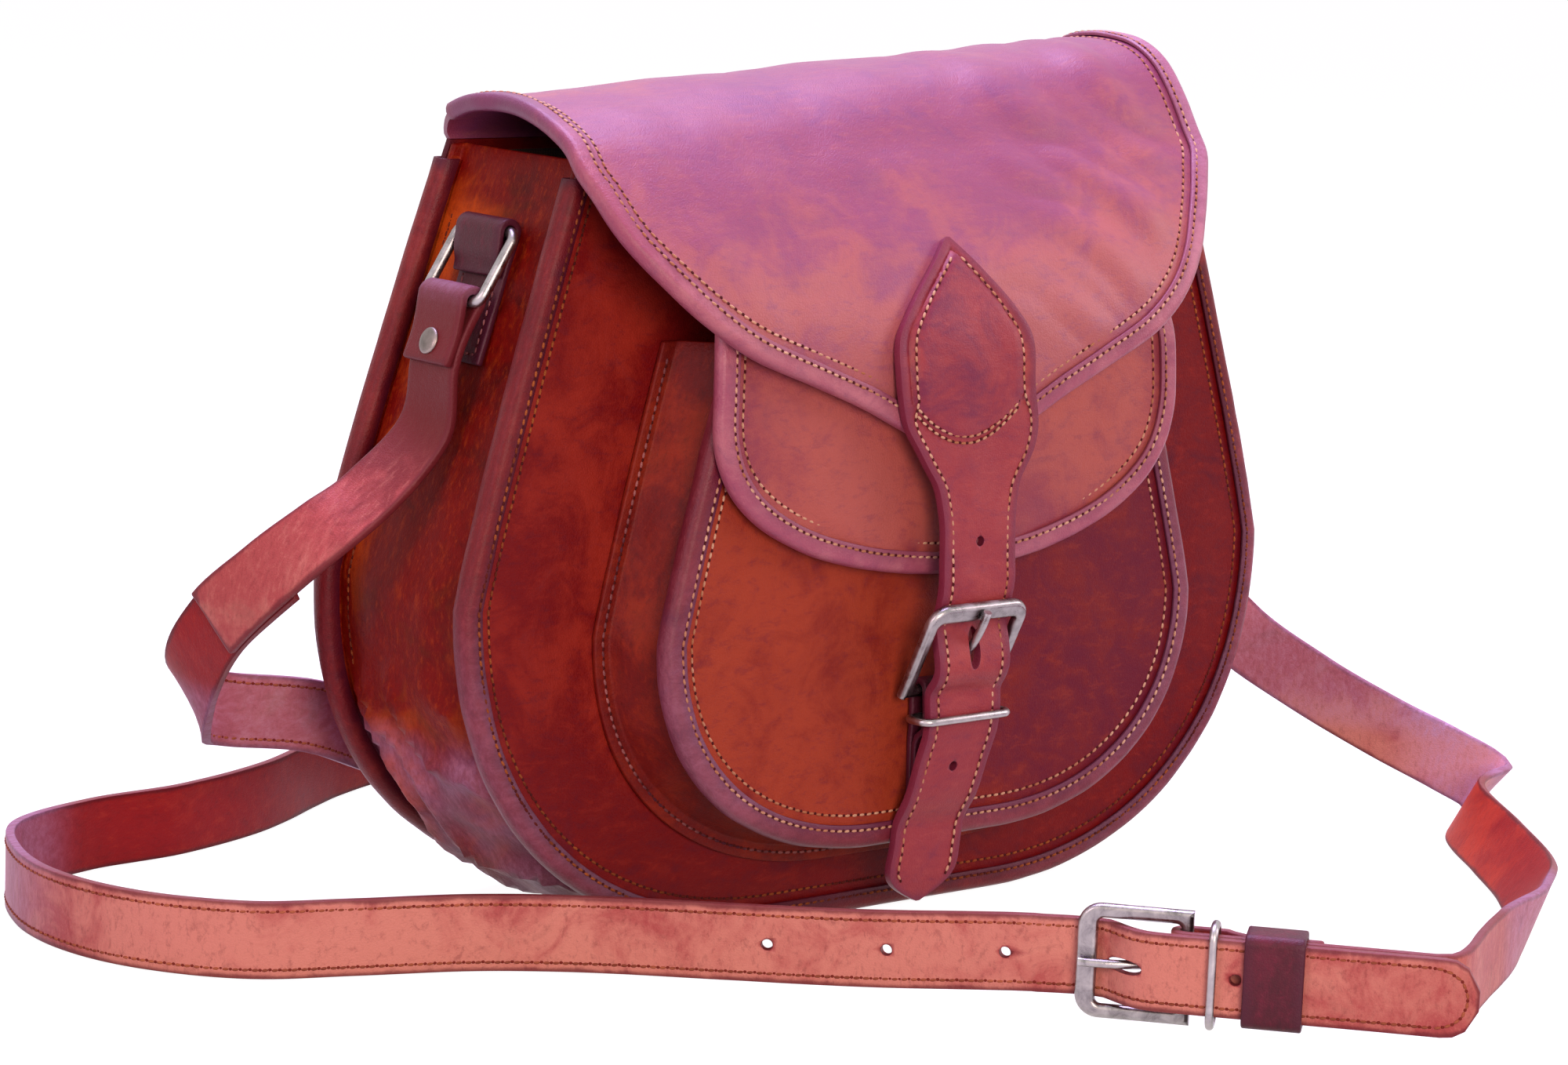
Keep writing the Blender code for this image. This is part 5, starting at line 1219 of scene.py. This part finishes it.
# %% [markdown]
# ## Folded tabs
#
# Strips of dark leather folded round a bar: the chape that holds the closure buckle, and the tab that
# holds each ring. Punches cut the slots and holes.

# %%


def hairpin_points(length, thickness, end_front, end_back):
    """Leather folded round a hinge bar, as (along, out) points from front end to back end."""
    middle = BAR_RADIUS + GAP + thickness / 2
    points = [(-length, end_front), (-HAIRPIN_CLOSED, end_front), (-HAIRPIN_OPEN, middle)]
    turns = [math.pi / 2 - math.pi * step / 16 for step in range(17)]
    points += [(middle * math.cos(angle), middle * math.sin(angle)) for angle in turns]
    return points + [(-HAIRPIN_OPEN, -middle), (-HAIRPIN_CLOSED, end_back), (-length, end_back)]


def cut_through(item, cutters):
    """Cuts punches out of a piece, then takes them away."""
    for cutter in cutters:
        hole = item.modifiers.new("Cut", "BOOLEAN")
        hole.operation = "DIFFERENCE"
        hole.solver = "EXACT"
        hole.object = cutter
    settle(item)
    for cutter in cutters:
        mesh = cutter.data
        bpy.data.objects.remove(cutter)
        bpy.data.meshes.remove(mesh)


def punch(width, length, depth, matrix, square=False):
    shape = bmesh.new()
    if square:
        bmesh.ops.create_cube(shape, size=1.0)
        bmesh.ops.scale(shape, vec=(width, length, depth), verts=shape.verts)
    else:
        radius = width / 2
        bmesh.ops.create_cone(shape, cap_ends=True, segments=24, radius1=radius, radius2=radius, depth=depth)
        bmesh.ops.scale(shape, vec=(1.0, length / width, 1.0), verts=shape.verts)
    mesh = mesh_of(shape, "punch")
    mesh.transform(matrix)
    item = add_object("punch", mesh)
    item.hide_render = True
    return item


def prong_slot(seat_matrix):
    """The long hole in a strap that the prong of a buckle stands in."""
    centre = Matrix.Translation((0.0, BUCKLE_LENGTH * SLOT_SHARE, 0.0))
    return punch(SLOT_WIDTH, SLOT_LENGTH, SLOT_DEPTH, seat_matrix @ centre)


def strip_rows(line, half, columns=6):
    """Rows of a strip: each line entry is (point, across)."""
    return [[point + across * half * (2 * c / columns - 1) for c in range(columns + 1)]
            for point, across in line]


def make_chape():
    lying = CLOSURE_BACKING - TAB_LEATHER / 2 - GAP
    points = hairpin_points(CHAPE_LENGTH, TAB_LEATHER, TAB_LEATHER + GAP - lying, -lying)
    fine = smooth_line([Vector((0.0, along, out)) for along, out in points], LINE_STEP)
    line = [(CLOSURE_SEAT @ point, Vector((1.0, 0.0, 0.0))) for point in fine]
    item = grid("closure_tab", strip_rows(line, CHAPE_WIDTH / 2), DARK, "LR")
    thicken(item, TAB_LEATHER)
    cut_through(item, [punch(PRONG_WIRE * 1.6, 0.009, 0.009, CLOSURE_SEAT, True)])
    seat(item, "bag", "dark tab leather", "closure_chape")


def make_tab(side, name):
    (bar_x, bar_z), low = ring_places(side)
    radius = RING_WIRE / 2 + GAP + TAB_LEATHER / 2
    points = []
    for step in range(8):
        height = bar_z - TAB_PATCH + (TAB_PATCH - radius * 1.5) * step / 7
        points.append(Vector((side * (gusset_face(height) + GAP + TAB_LEATHER / 2), 0.0, height)))
    for step in range(17):
        angle = math.pi - math.pi * step / 16
        x = bar_x + side * radius * math.cos(angle)
        points.append(Vector((x, 0.0, bar_z + radius * math.sin(angle))))
    for drop, gap_share in ((0.45, 0.65), (0.75, 0.18), (1.0, 0.05)):
        height = bar_z - TAB_FRONT * drop
        base = gusset_face(height) + GAP * 2 + TAB_LEATHER * 1.5
        points.append(Vector((side * (base + (radius * 2 - TAB_LEATHER - GAP) * gap_share), 0.0, height)))
    line = [(point, Vector((0.0, 1.0, 0.0))) for point in smooth_line(points, 0.0014)]
    item = grid(name + "_side_tab", strip_rows(line, TAB_WIDTH / 2), DARK)
    thicken(item, TAB_LEATHER)
    seat(item, "bag", "dark tab leather", name + "_tab")
    out = Vector((side, 0.0, 0.25)).normalized()
    lift = GAP + TAB_LEATHER
    inset = TAB_SEAM_INSET
    low_edge = bar_z - TAB_PATCH + inset
    heights = [low_edge + 0.018 * step / 6 for step in range(7)]
    lines = [[(y, height) for height in heights] for y in (-TAB_WIDTH / 2 + inset, TAB_WIDTH / 2 - inset)]
    lines.append([(y, low_edge) for y in (-0.0075, 0.0075)])
    seams = [[(Vector((side * (gusset_face(h) + lift), y, h)), out) for y, h in line] for line in lines]
    sew(name + "_tab_stitches", seams, DARK_THREAD, "bag", "dark tab leather")


make_chape()
make_tab(-1, "left")
make_tab(1, "right")

# %% [markdown]
# ## Closure strap
#
# The strap is sewn on the flap by a teardrop with a groove pressed round it. Below it runs under the outer
# bar of the buckle, over the hinge bar, through the keeper and down the pocket to its leaf-shaped tip.

# %%
GROOVE_DEPTH, GROOVE_INSET, GROOVE_WIDTH = 0.0010, 0.0038, 0.0007
HEAD_FOOT, BOWL_DEPTH, ARC_REACH, LAST_STITCH = 0.0505, 0.0095, 0.0185, 0.178


def closure_path():
    line = [FLAP_HINGE @ Vector((0.0, p.y, p.z)) for p in share_line(FLAP_SHARES, flap_point, 90)]
    centre = [point for point in line if point.z < CLOSURE_TOP and point.y < 0][::4]
    path = []
    count = len(centre)
    for index, point in enumerate(centre):
        run = centre[min(index + 1, count - 1)] - centre[max(index - 1, 0)]
        away = Vector((0.0, run.z, -run.y)).normalized()
        away = away if away.y < 0 else -away
        lift = FLAP_LEATHER / 2 + GAP + STRAP_LEATHER / 2
        lift += (BINDING_STACK + GAP) * min(1.0, index / (count - 1) * 1.8)
        path.append(point + away * lift)
    bar = BAR_RADIUS + GAP + STRAP_LEATHER / 2
    over = BAR_RADIUS + GAP * 3 + PRONG_WIRE + STRAP_LEATHER / 2
    for along, out in ((1.58, -2.80), (1.29, -1.50), (1.05, -1.0), (0.84, -0.72)):
        path.append(CLOSURE_FRAME @ Vector((0.0, along * BUCKLE_LENGTH, out * bar)))
    for along, out in ((0.50, 0.76), (0.32, 0.97)):
        path.append(CLOSURE_FRAME @ Vector((0.0, along * BUCKLE_LENGTH, out * over)))
    rest = BINDING_STACK + GAP * 2 + STRAP_LEATHER / 2 - CLOSURE_BACKING
    on_chape = TAB_LEATHER * 2 + GAP * 4 + STRAP_LEATHER / 2 - CLOSURE_BACKING
    for along, out in ((0.0, over), (-KEEPER_SETBACK, over), (-CHAPE_LENGTH * 0.62, (over + on_chape) / 2),
                       (-CHAPE_LENGTH, on_chape), (-CHAPE_LENGTH * 1.25, rest), (-CHAPE_LENGTH * 1.5, rest),
                       (-CLOSURE_HINGE_HEIGHT, rest)):
        path.append(CLOSURE_SEAT @ Vector((0.0, along, out)))
    return smooth_line(path, 0.0012)


def closure_stations(steps=150):
    """(centre, half width, outward direction) at even steps down the strap."""
    line = closure_path()
    lengths = running_lengths(line)
    tail = CLOSURE_LENGTH * CLOSURE_TAIL_SHARE
    found = []
    index = 0
    for step in range(steps + 1):
        place = CLOSURE_LENGTH * step / steps
        while lengths[index + 1] < place:
            index += 1
        run = line[index + 1] - line[index]
        point = line[index] + run * ((place - lengths[index]) / run.length)
        share = place / CLOSURE_LENGTH
        half = CLOSURE_WIDTH / 2
        if share < TEARDROP_SHARES[-1][0]:
            half = between(TEARDROP_SHARES, share)[1] * TEARDROP_WIDTH / 2
        drift = HEAD_SHIFT * fade(0.33, 0.20, share) + 0.0018 * fade(0.14, 0.0, share)
        if place > CLOSURE_LENGTH - tail:
            half = between(TAIL_SHARES, (place - CLOSURE_LENGTH + tail) / tail)[1] * CLOSURE_WIDTH / 2
            drift = -(place - CLOSURE_LENGTH + tail) * math.sin(CLOSURE_LEAN_ANGLE)
        out = Vector((1.0, 0.0, 0.0)).cross(run).normalized() * -1
        out = out if out.y < 0 else -out
        found.append((point + Vector((drift, 0.0, 0.0)), half, out, place))
    halves = [row[1] for row in found]
    for _ in range(4):
        inner = [(a + b + c) / 3 for a, b, c in zip(halves, halves[1:], halves[2:])]
        halves = [halves[0]] + inner + [halves[-1]]
    return [(row[0], half, row[2], row[3]) for row, half in zip(found, halves)]


def make_closure_strap():
    stations = closure_stations()
    columns = 24
    rows = [[point + Vector((half * (2 * c / columns - 1), 0.0, 0.0)) for c in range(columns + 1)]
            for point, half, out, place in stations]
    item = grid("closure_strap_leather", rows, CLOSURE)
    foot, bowl, arc_reach = stations[0][0].z - HEAD_FOOT, BOWL_DEPTH, ARC_REACH

    def arc_height(x):
        """Height of the arc that closes the teardrop at its foot."""
        return foot + bowl * ((x - HEAD_SHIFT) / arc_reach) ** 2

    def above_arc(p):
        return p.z - arc_height(p.x)

    def groove(p, e):
        inside = fade(-0.0006, 0.0006, above_arc(p))
        raised = GROOVE_DEPTH * fade(0.0044, 0.0060, e) * inside
        pressed = -GROOVE_DEPTH * math.exp(-((e - GROOVE_INSET) / GROOVE_WIDTH) ** 2) * inside
        return raised + pressed + 0.0004 * waves(p, 0.012, 51.0)

    facing = facing_of(item, 1, -1)
    press(item, lambda p, e: facing * groove(p, e))
    tint(item, lambda p, e: -0.45 * fade(-0.001, 0.001, above_arc(p)) * fade(0.0040, 0.0056, e)
         + 0.34 * bump_at(p, (0.010, -0.06, 0.155), (0.008, 1, 0.010)))
    thicken(item, STRAP_LEATHER)
    cutters = [prong_slot(CLOSURE_FRAME)]
    hinge = [i for i, row in enumerate(stations) if row[0].z < CLOSURE_HINGE_HEIGHT][0]
    step_length = stations[1][3]
    for offset in (-2, 1):
        index = hinge + round((offset * HOLE_PITCH - BUCKLE_LENGTH * 0.1) / step_length)
        along = (stations[index + 1][0] - stations[index - 1][0]).normalized()
        out = stations[index][2]
        place = axes(stations[index][0], along.cross(out).normalized(), along, out)
        cutters.append(punch(HOLE * 0.8, HOLE * 0.8, 0.008, place))
    cut_through(item, cutters)
    seat(item, "flap", "flap leather", "closure_strap")
    surface = STRAP_LEATHER / 2
    seams = []
    for side in (-1, 1):
        seam = []
        for point, half, out, place in stations:
            in_head = fade(foot + bowl * 0.4, foot + bowl * 1.2, point.z)
            inset = 0.0028 + 0.0020 * in_head
            if half > inset + 0.0012 and place < LAST_STITCH:
                spot = point + Vector((side * (half - inset), 0.0, 0.0))
                seam.append((spot + out * (surface + 0.0008 * in_head), out))
        seams.append(seam)
    for lower, lift in ((0.0003, 0.0006), (0.0021, 0.0003)):
        arc = []
        for step in range(33):
            reach = (arc_reach - 0.0008) * (step / 16 - 1)
            height = arc_height(HEAD_SHIFT + reach) - lower
            point, half, out, place = min(stations, key=lambda row: abs(row[0].z - height))
            arc.append((Vector((HEAD_SHIFT + reach, point.y, height)) + out * (surface + lift), out))
        seams.append(arc)
    sew("closure_stitches", seams, THREAD, "flap", "flap leather")


make_closure_strap()
print("closure done")

# %% [markdown]
# ## Shoulder strap
#
# One long belt in three lengths. Each is a ribbon that turns from lying flat against its ring to standing
# on its edge on the floor.

# %%


def strap_end(side):
    """Strap folded up over the ring: points from its short end to the hanging run, and the rivet's place."""
    bar, low = ring_places(side)
    centre = Vector((low[0], 0.0, low[1]))
    hang = Vector((side * math.sin(STRAP_HANG), 0.0, -math.cos(STRAP_HANG)))
    away = Vector((side * math.cos(STRAP_HANG), 0.0, math.sin(STRAP_HANG)))
    loop = RING_WIRE / 2 + GAP + STRAP_LEATHER / 2
    lying = (STRAP_LEATHER + GAP) / 2
    points = [centre + hang * down + away * lying for down in (STRAP_END_FOLD, STRAP_END_FOLD / 2)]
    for step in range(13):
        angle = math.pi * step / 12
        points.append(centre + away * loop * math.cos(angle) - hang * loop * math.sin(angle))
    points += [centre + hang * down - away * lying for down in (STRAP_END_FOLD / 2, STRAP_END_FOLD)]
    return points, axes(centre + hang * STRAP_RIVET_DROP, hang.cross(away), hang, away)


def route_points(shares):
    points = []
    for x, y, edge, *width in shares:
        across = Vector(width or (0.0, 0.0, -1.0)).normalized()
        lower = edge * BODY_HEIGHT + FLOOR_CLEARANCE
        z = lower + STRAP_WIDTH / 2 * abs(across.z) + STRAP_LEATHER / 2 * math.hypot(across.x, across.y)
        points.append((Vector((x * HALF_BODY, y * HALF_BODY, z)), across))
    return points


def stations_along(points, step=0.0030):
    places, widths = paired_line(points, step)
    run = []
    last = len(places) - 1
    for index, place in enumerate(places):
        along = (places[min(index + 1, last)] - places[max(index - 1, 0)]).normalized()
        across = (widths[index] - along * widths[index].dot(along)).normalized()
        run.append((place, along, across, across.cross(along).normalized()))
    return run


def distances(run):
    return running_lengths([station[0] for station in run])


def place_on(run, distance):
    """Placement on a strap at a distance from its first station, with +Z outwards."""
    lengths = distances(run)
    index = max(i for i, length in enumerate(lengths[:-1]) if length <= distance)
    start, along, across, out = run[index]
    share = (distance - lengths[index]) / (lengths[index + 1] - lengths[index])
    return axes(start.lerp(run[index + 1][0], share), across, along, across.cross(along))


def distance_to(run, spot):
    lengths = distances(run)
    index = min(range(len(run)), key=lambda i: (run[i][0] - spot).length)
    return lengths[index] + (spot - run[index][0]).dot(run[index][1])


def ribbon(name, run, material, tip=0.0, inside=0, turned_at=-1.0, columns=10):
    """A strap with softly waved edges and a rounded tip.

    Inside says on which side its red inner face is, darker partly as painted shade, and turned_at from which
    depth on both faces are pale.
    """
    lengths = distances(run)
    rows = []
    for (place, along, across, out), length in zip(run, lengths):
        half = STRAP_WIDTH / 2
        rest = lengths[-1] - length
        if rest < tip:
            half *= max(math.sqrt(max(1 - (1 - rest / tip) ** 2.4, 0.0)), 0.25)
        rows.append([place + across * half * (2 * c / columns - 1) for c in range(columns + 1)])
    item = grid(name, rows, material)
    press(item, lambda p, e: 0.00016 * waves(p, 0.014, 61.0))
    tint(item, lambda p, e: 0.20 * fade(0.09, 0.03, p.y) * fade(0.040, 0.028, p.z)
         - 0.24 * fade(0.0, 0.08, p.x) * fade(-0.10, -0.14, p.y)
         - 1.30 * fade(0.10, 0.15, p.z))
    # Painted sheen: pale lilac painted highlights on the strap's bends: at its far left, at the fold over the
    # left ring, at its far right and near the buckle.
    paint_sheen(item, lambda p: 0.45 * fade(-0.17, -0.19, p.x) * fade(0.03, 0.07, p.y)
        + 0.40 * fade(0.024, 0.030, p.z) * fade(0.066, 0.058, p.z)
        * fade(-0.192, -0.182, p.x)
        + 0.75 * bump_at(p, (-0.124, 0.0, 0.177), (0.008, 0.02, 0.005)) + 0.60 * fade(0.203, 0.214, p.x)
        + 0.45 * fade(0.075, 0.095, p.x) * fade(-0.150, -0.165, p.y))
    slots = (0, 0)
    if inside:
        item.data.materials.append(STRAP_INSIDE_AND_SHADE)
        if item.data.polygons[0].normal.dot(run[0][3]) * inside > 0:
            slots = (-1, -1)
            for polygon in item.data.polygons:
                polygon.material_index = 1
        else:
            slots = (1, 0)
    thicken(item, STRAP_LEATHER, slots)
    if turned_at > -1:
        for polygon in item.data.polygons:
            if polygon.center.y > turned_at:
                polygon.material_index = 0
    return item


def edge_seams(run, start, end):
    """A row of stitches near each edge of a strap, on its outer face."""
    seams = [[], []]
    for (place, along, across, out), length in zip(run, distances(run)):
        if start < length < end:
            for side, seam in zip((-1, 1), seams):
                spot = place + across * side * (STRAP_WIDTH / 2 - SEAM_BESIDE_EDGE)
                seam.append((spot + out * STRAP_LEATHER / 2, out))
    return seams


across_ring = Vector((0.0, -1.0, 0.0))
flat = Vector((0.0, 0.0, -1.0))
bar_clear = BAR_RADIUS + GAP + STRAP_LEATHER / 2
left_end, left_rivet = strap_end(-1)
right_end, right_rivet = strap_end(1)
left_points = [(point, across_ring) for point in left_end] + route_points(LEFT_ROUTE_SHARES)
for along, out in ((1.85, -0.30), (1.55, -0.62), (1.24, -0.95), (1.0, -1.0), (0.84, -0.72)):
    left_points.append((STRAP_SEAT @ Vector((0.0, along * BUCKLE_LENGTH, out * bar_clear)), flat))
for along, out in ((0.66, 0.30), (0.50, 0.76), (0.32, 0.97), (0.0, 1.0), (-0.4, 1.0)):
    left_points.append((STRAP_SEAT @ Vector((0.0, along * BUCKLE_LENGTH, out * strap_over)), flat))
for share in (0.5, 0.75, 1.0):
    left_points.append((STRAP_SEAT @ Vector((0.0, -share * BILLET_END, strap_over)), flat))
left_run = stations_along(left_points)
splice_point = route_points(LEFT_ROUTE_SHARES)[4][0]
splice = min(range(len(left_run) // 2), key=lambda i: (left_run[i][0] - splice_point).length)
end_piece = ribbon("left_strap_leather", left_run[:splice + 1], STRAP)
start = splice
while (left_run[start][0] - left_run[splice][0]).length < SPLICE_OVERLAP:
    start -= 1
lower, travelled = [], 0.0
for index, (place, along, across, out) in enumerate(left_run[start:], start):
    travelled += (place - left_run[index - 1][0]).length
    sunk = 1 - min(max(travelled / SPLICE_OVERLAP - 2, 0.0), 1.0)
    lower.append((place + out * (STRAP_LEATHER + GAP) * sunk, along, across, out))
billet = ribbon("long_strap_leather", lower, STRAP, STRAP_WIDTH * 0.45, -1)
cutters = [prong_slot(STRAP_SEAT)]
prong_place = distance_to(left_run, STRAP_SEAT @ Vector((0.0, BUCKLE_LENGTH * SLOT_SHARE, 0.0)))
for pitch in (-3, -2, -1, 1):
    hole_place = place_on(left_run, prong_place + pitch * STRAP_HOLE_PITCH)
    cutters.append(punch(HOLE * 0.85, HOLE * 0.85, 0.0096, hole_place))
cut_through(billet, cutters)
seat(billet, "bag", "strap leather", "billet_strap")

back_closed = bar_clear - STRAP_LEATHER - GAP
fold = hairpin_points(STRAP_FOLD_BACK, STRAP_LEATHER, bar_clear, back_closed)
right_points = [(point, across_ring) for point in right_end] + route_points(RIGHT_ROUTE_SHARES)
turn = [(along * BILLET_END, out * BILLET_END) for along, out in TURN_SHARES]
turn += [(along * BILLET_END, bar_clear) for along in STRAIGHT_SHARES]
right_points += [(STRAP_SEAT @ Vector((0.0, -along, out)), flat) for along, out in turn]
right_points += [(STRAP_SEAT @ Vector((0.0, along, out)), flat) for along, out in fold]
right_run = stations_along(right_points)
buckle_piece = ribbon("short_strap_leather", right_run, STRAP, 0.0, 1, -0.066)
cut_through(buckle_piece, [punch(PRONG_WIRE * 1.6, 0.011, 0.011, STRAP_SEAT, True)])


def hang_from_ring(item, side):
    """Bakes the piece's placement into its mesh; it is not bent with its ring."""
    (bar_x, bar_z), (low_x, low_z) = ring_places(side)
    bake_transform(item)


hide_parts("left_strap_end")
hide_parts("buckle_strap")
left_total, right_total = distances(left_run)[-1], distances(right_run)[-1]
print("strap lengths", round(left_total, 3), round(right_total, 3))

# %% [markdown]
# ### Stitches along the strap, rivets and the leather keeper

# %%
lower_start = distances(lower)
tip_seam = []
for step in range(13):
    angle = math.pi * step / 12
    spot = place_on(lower, lower_start[-1] - 0.011 + 0.0082 * math.sin(angle))
    reach = (STRAP_WIDTH / 2 - SEAM_BESIDE_EDGE) * math.cos(angle)
    face = spot.to_3x3() @ Vector((0.0, 0.0, 1.0))
    tip_seam.append((spot @ Vector((reach, 0.0, STRAP_LEATHER / 2)), face))
long_seams = edge_seams(lower, SPLICE_OVERLAP + 0.004, lower_start[-1] - 0.011) + [tip_seam]
sew("long_strap_stitches", long_seams, STRAP_THREAD, "bag", "strap leather")


def rivet(name, place, stack):
    """Double-capped rivet: two shallow domes on one shank."""
    half = stack / 2 + 0.0001
    profile = []
    for step in range(9):
        angle = math.pi / 2 * step / 8
        profile.append((RIVET_HEAD / 2 * math.sin(angle), half + RIVET_DOME * (0.2 + 0.8 * math.cos(angle))))
    profile += [(RIVET_HEAD / 2, half), (0.0015, half), (0.0015, -half), (RIVET_HEAD / 2, -half)]
    profile += [(RIVET_HEAD / 2, -half - RIVET_DOME * 0.3), (0.0, -half - RIVET_DOME * 0.4)]
    shape = bmesh.new()
    verts = [shape.verts.new((x, 0.0, z)) for x, z in profile]
    edges = [shape.edges.new(pair) for pair in zip(verts, verts[1:])]
    bmesh.ops.spin(shape, geom=verts + edges, cent=(0, 0, 0), axis=(0, 0, 1), angle=math.tau, steps=32,
                   use_merge=True)
    bmesh.ops.remove_doubles(shape, verts=shape.verts, dist=0.000005)
    bmesh.ops.recalc_face_normals(shape, faces=shape.faces)
    mesh = mesh_of(shape, name)
    mesh.transform(place)
    mesh.shade_smooth()
    mesh.set_sharp_from_angle(angle=math.radians(40))
    item = add_object(name, mesh, STUD_METAL)
    return item


strap_stack = STRAP_LEATHER * 2 + GAP
left_stud = rivet("left_rivet_stud", left_rivet, strap_stack)
right_stud = rivet("right_rivet_stud", right_rivet, strap_stack)
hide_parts("left_strap_rivet")
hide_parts("right_strap_rivet")
for item in (end_piece, left_stud):
    hang_from_ring(item, -1)
for item in (buckle_piece, right_stud):
    hang_from_ring(item, 1)


def make_leather_keeper():
    low = BAR_RADIUS + GAP - STRAP_LEATHER - GAP - GAP
    high = strap_over + STRAP_LEATHER / 2 + GAP
    half = STRAP_WIDTH / 2 + GAP
    wall = LEATHER_KEEPER_WALL
    middle = rounded_rectangle(-half - wall / 2, half + wall / 2, low - wall / 2, high + wall / 2, wall, 6)
    middle.append(middle[0])
    rows = []
    for step in range(11):
        along = -LEATHER_KEEPER_PLACE + LEATHER_KEEPER_WIDTH * (step / 10 - 0.5)
        rows.append([STRAP_SEAT @ Vector((x, along, out)) for x, out in middle])
    item = grid("leather_keeper_loop", rows, DARK, "SE")
    close_fan(item)
    thicken(item, wall)
    return seat(item, "strap_keeper", "dark tab leather", "strap_leather_keeper")


make_leather_keeper()

# %% [markdown]
# ## Floor, light and camera
#
# A white sweep, a wide soft light above and behind, a warm fill from the front and a small light at each
# side. The sweep and the sky look white to the camera and in the metal, and light the bag softly. The
# camera stands where the photographer stood.

# %%
WHITE = (1.0, 1.0, 1.0, 1.0)


def seen_directly(tree):
    """1 for what the camera sees, straight or in a mirror, and 0 for what only lights the bag."""
    rays = [add_node(tree, "LightPath", output=ray) for ray in ("Is Camera Ray", "Is Glossy Ray")]
    return add_node(tree, "Math", rays, operation="MAXIMUM")


def make_stage():
    material, tree = blank_material("white_sweep")
    strength = add_node(tree, "Math", (seen_directly(tree), 0.94), operation="MULTIPLY")
    matt = add_node(tree, "BsdfDiffuse", {"Color": (0.30, 0.27, 0.28, 1.0)})
    glow = add_node(tree, "Emission", {"Color": WHITE, "Strength": strength})
    add_node(tree, "OutputMaterial", (add_node(tree, "AddShader", (matt, glow)),))
    shape = bmesh.new()
    bmesh.ops.create_grid(shape, x_segments=2, y_segments=2, size=6.0)
    floor = add_object("floor", mesh_of(shape, "floor"), material)
    floor.location.z = -0.0002


def area_light(name, place, target, size, power, colour):
    data = bpy.data.lights.new(name, "AREA")
    data.shape = "DISK"
    data.size = size
    data.energy = power
    data.color = colour[:3]
    lamp = bpy.data.objects.new(name, data)
    lamp.location = place
    lamp.rotation_euler = (Vector(target) - Vector(place)).to_track_quat("-Z", "Y").to_euler()
    bpy.context.scene.collection.objects.link(lamp)


make_stage()
area_light("overhead", (0.15, 0.30, 1.5), (0, 0, 0.1), 1.1, 38, rgb("D2C2FF"))
area_light("front_fill", (-0.7, -1.7, 0.6), (0, -0.1, 0.05), 1.0, 20, rgb("FFE8DC"))
area_light("right_side", (1.4, -0.9, 0.8), (0, 0, 0.1), 0.8, 10, rgb("FFE6F4"))
area_light("left_side", (-1.5, -0.2, 0.7), (0, 0, 0.1), 0.5, 6, rgb("FFE0F0"))
world = bpy.data.worlds.new("soft_white")
world.use_nodes = True
sky = world.node_tree
sky.nodes.clear()
backdrop = add_node(sky, "Background", {"Color": WHITE, "Strength": 1.0})
surround = add_node(sky, "Background", {"Color": rgb("F0E0FF"), "Strength": 0.25})
add_node(sky, "OutputWorld", (add_node(sky, "MixShader", (seen_directly(sky), surround, backdrop)),))
bpy.context.scene.world = world
bpy.context.scene.view_settings.view_transform = "Standard"

CAMERA_SPOT, LENS_MM, SENSOR_MM = Vector((-0.73646, -0.90356, 0.30228)), 97.69, 36.0
yaw, pitch, roll = math.radians(38.852), math.radians(9.924), math.radians(2.260)
back = Vector((-math.sin(yaw) * math.cos(pitch), -math.cos(yaw) * math.cos(pitch), math.sin(pitch)))
level = Vector((math.cos(yaw), -math.sin(yaw), 0.0))
rise = back.cross(level)
right = level * math.cos(roll) + rise * math.sin(roll)
up = rise * math.cos(roll) - level * math.sin(roll)
lens = bpy.data.cameras.new("photo_camera")
lens.sensor_width, lens.lens = SENSOR_MM, LENS_MM
camera = bpy.data.objects.new("photo_camera", lens)
camera.matrix_world = axes(CAMERA_SPOT, right, up, back)
bpy.context.scene.collection.objects.link(camera)
bpy.context.scene.camera = camera
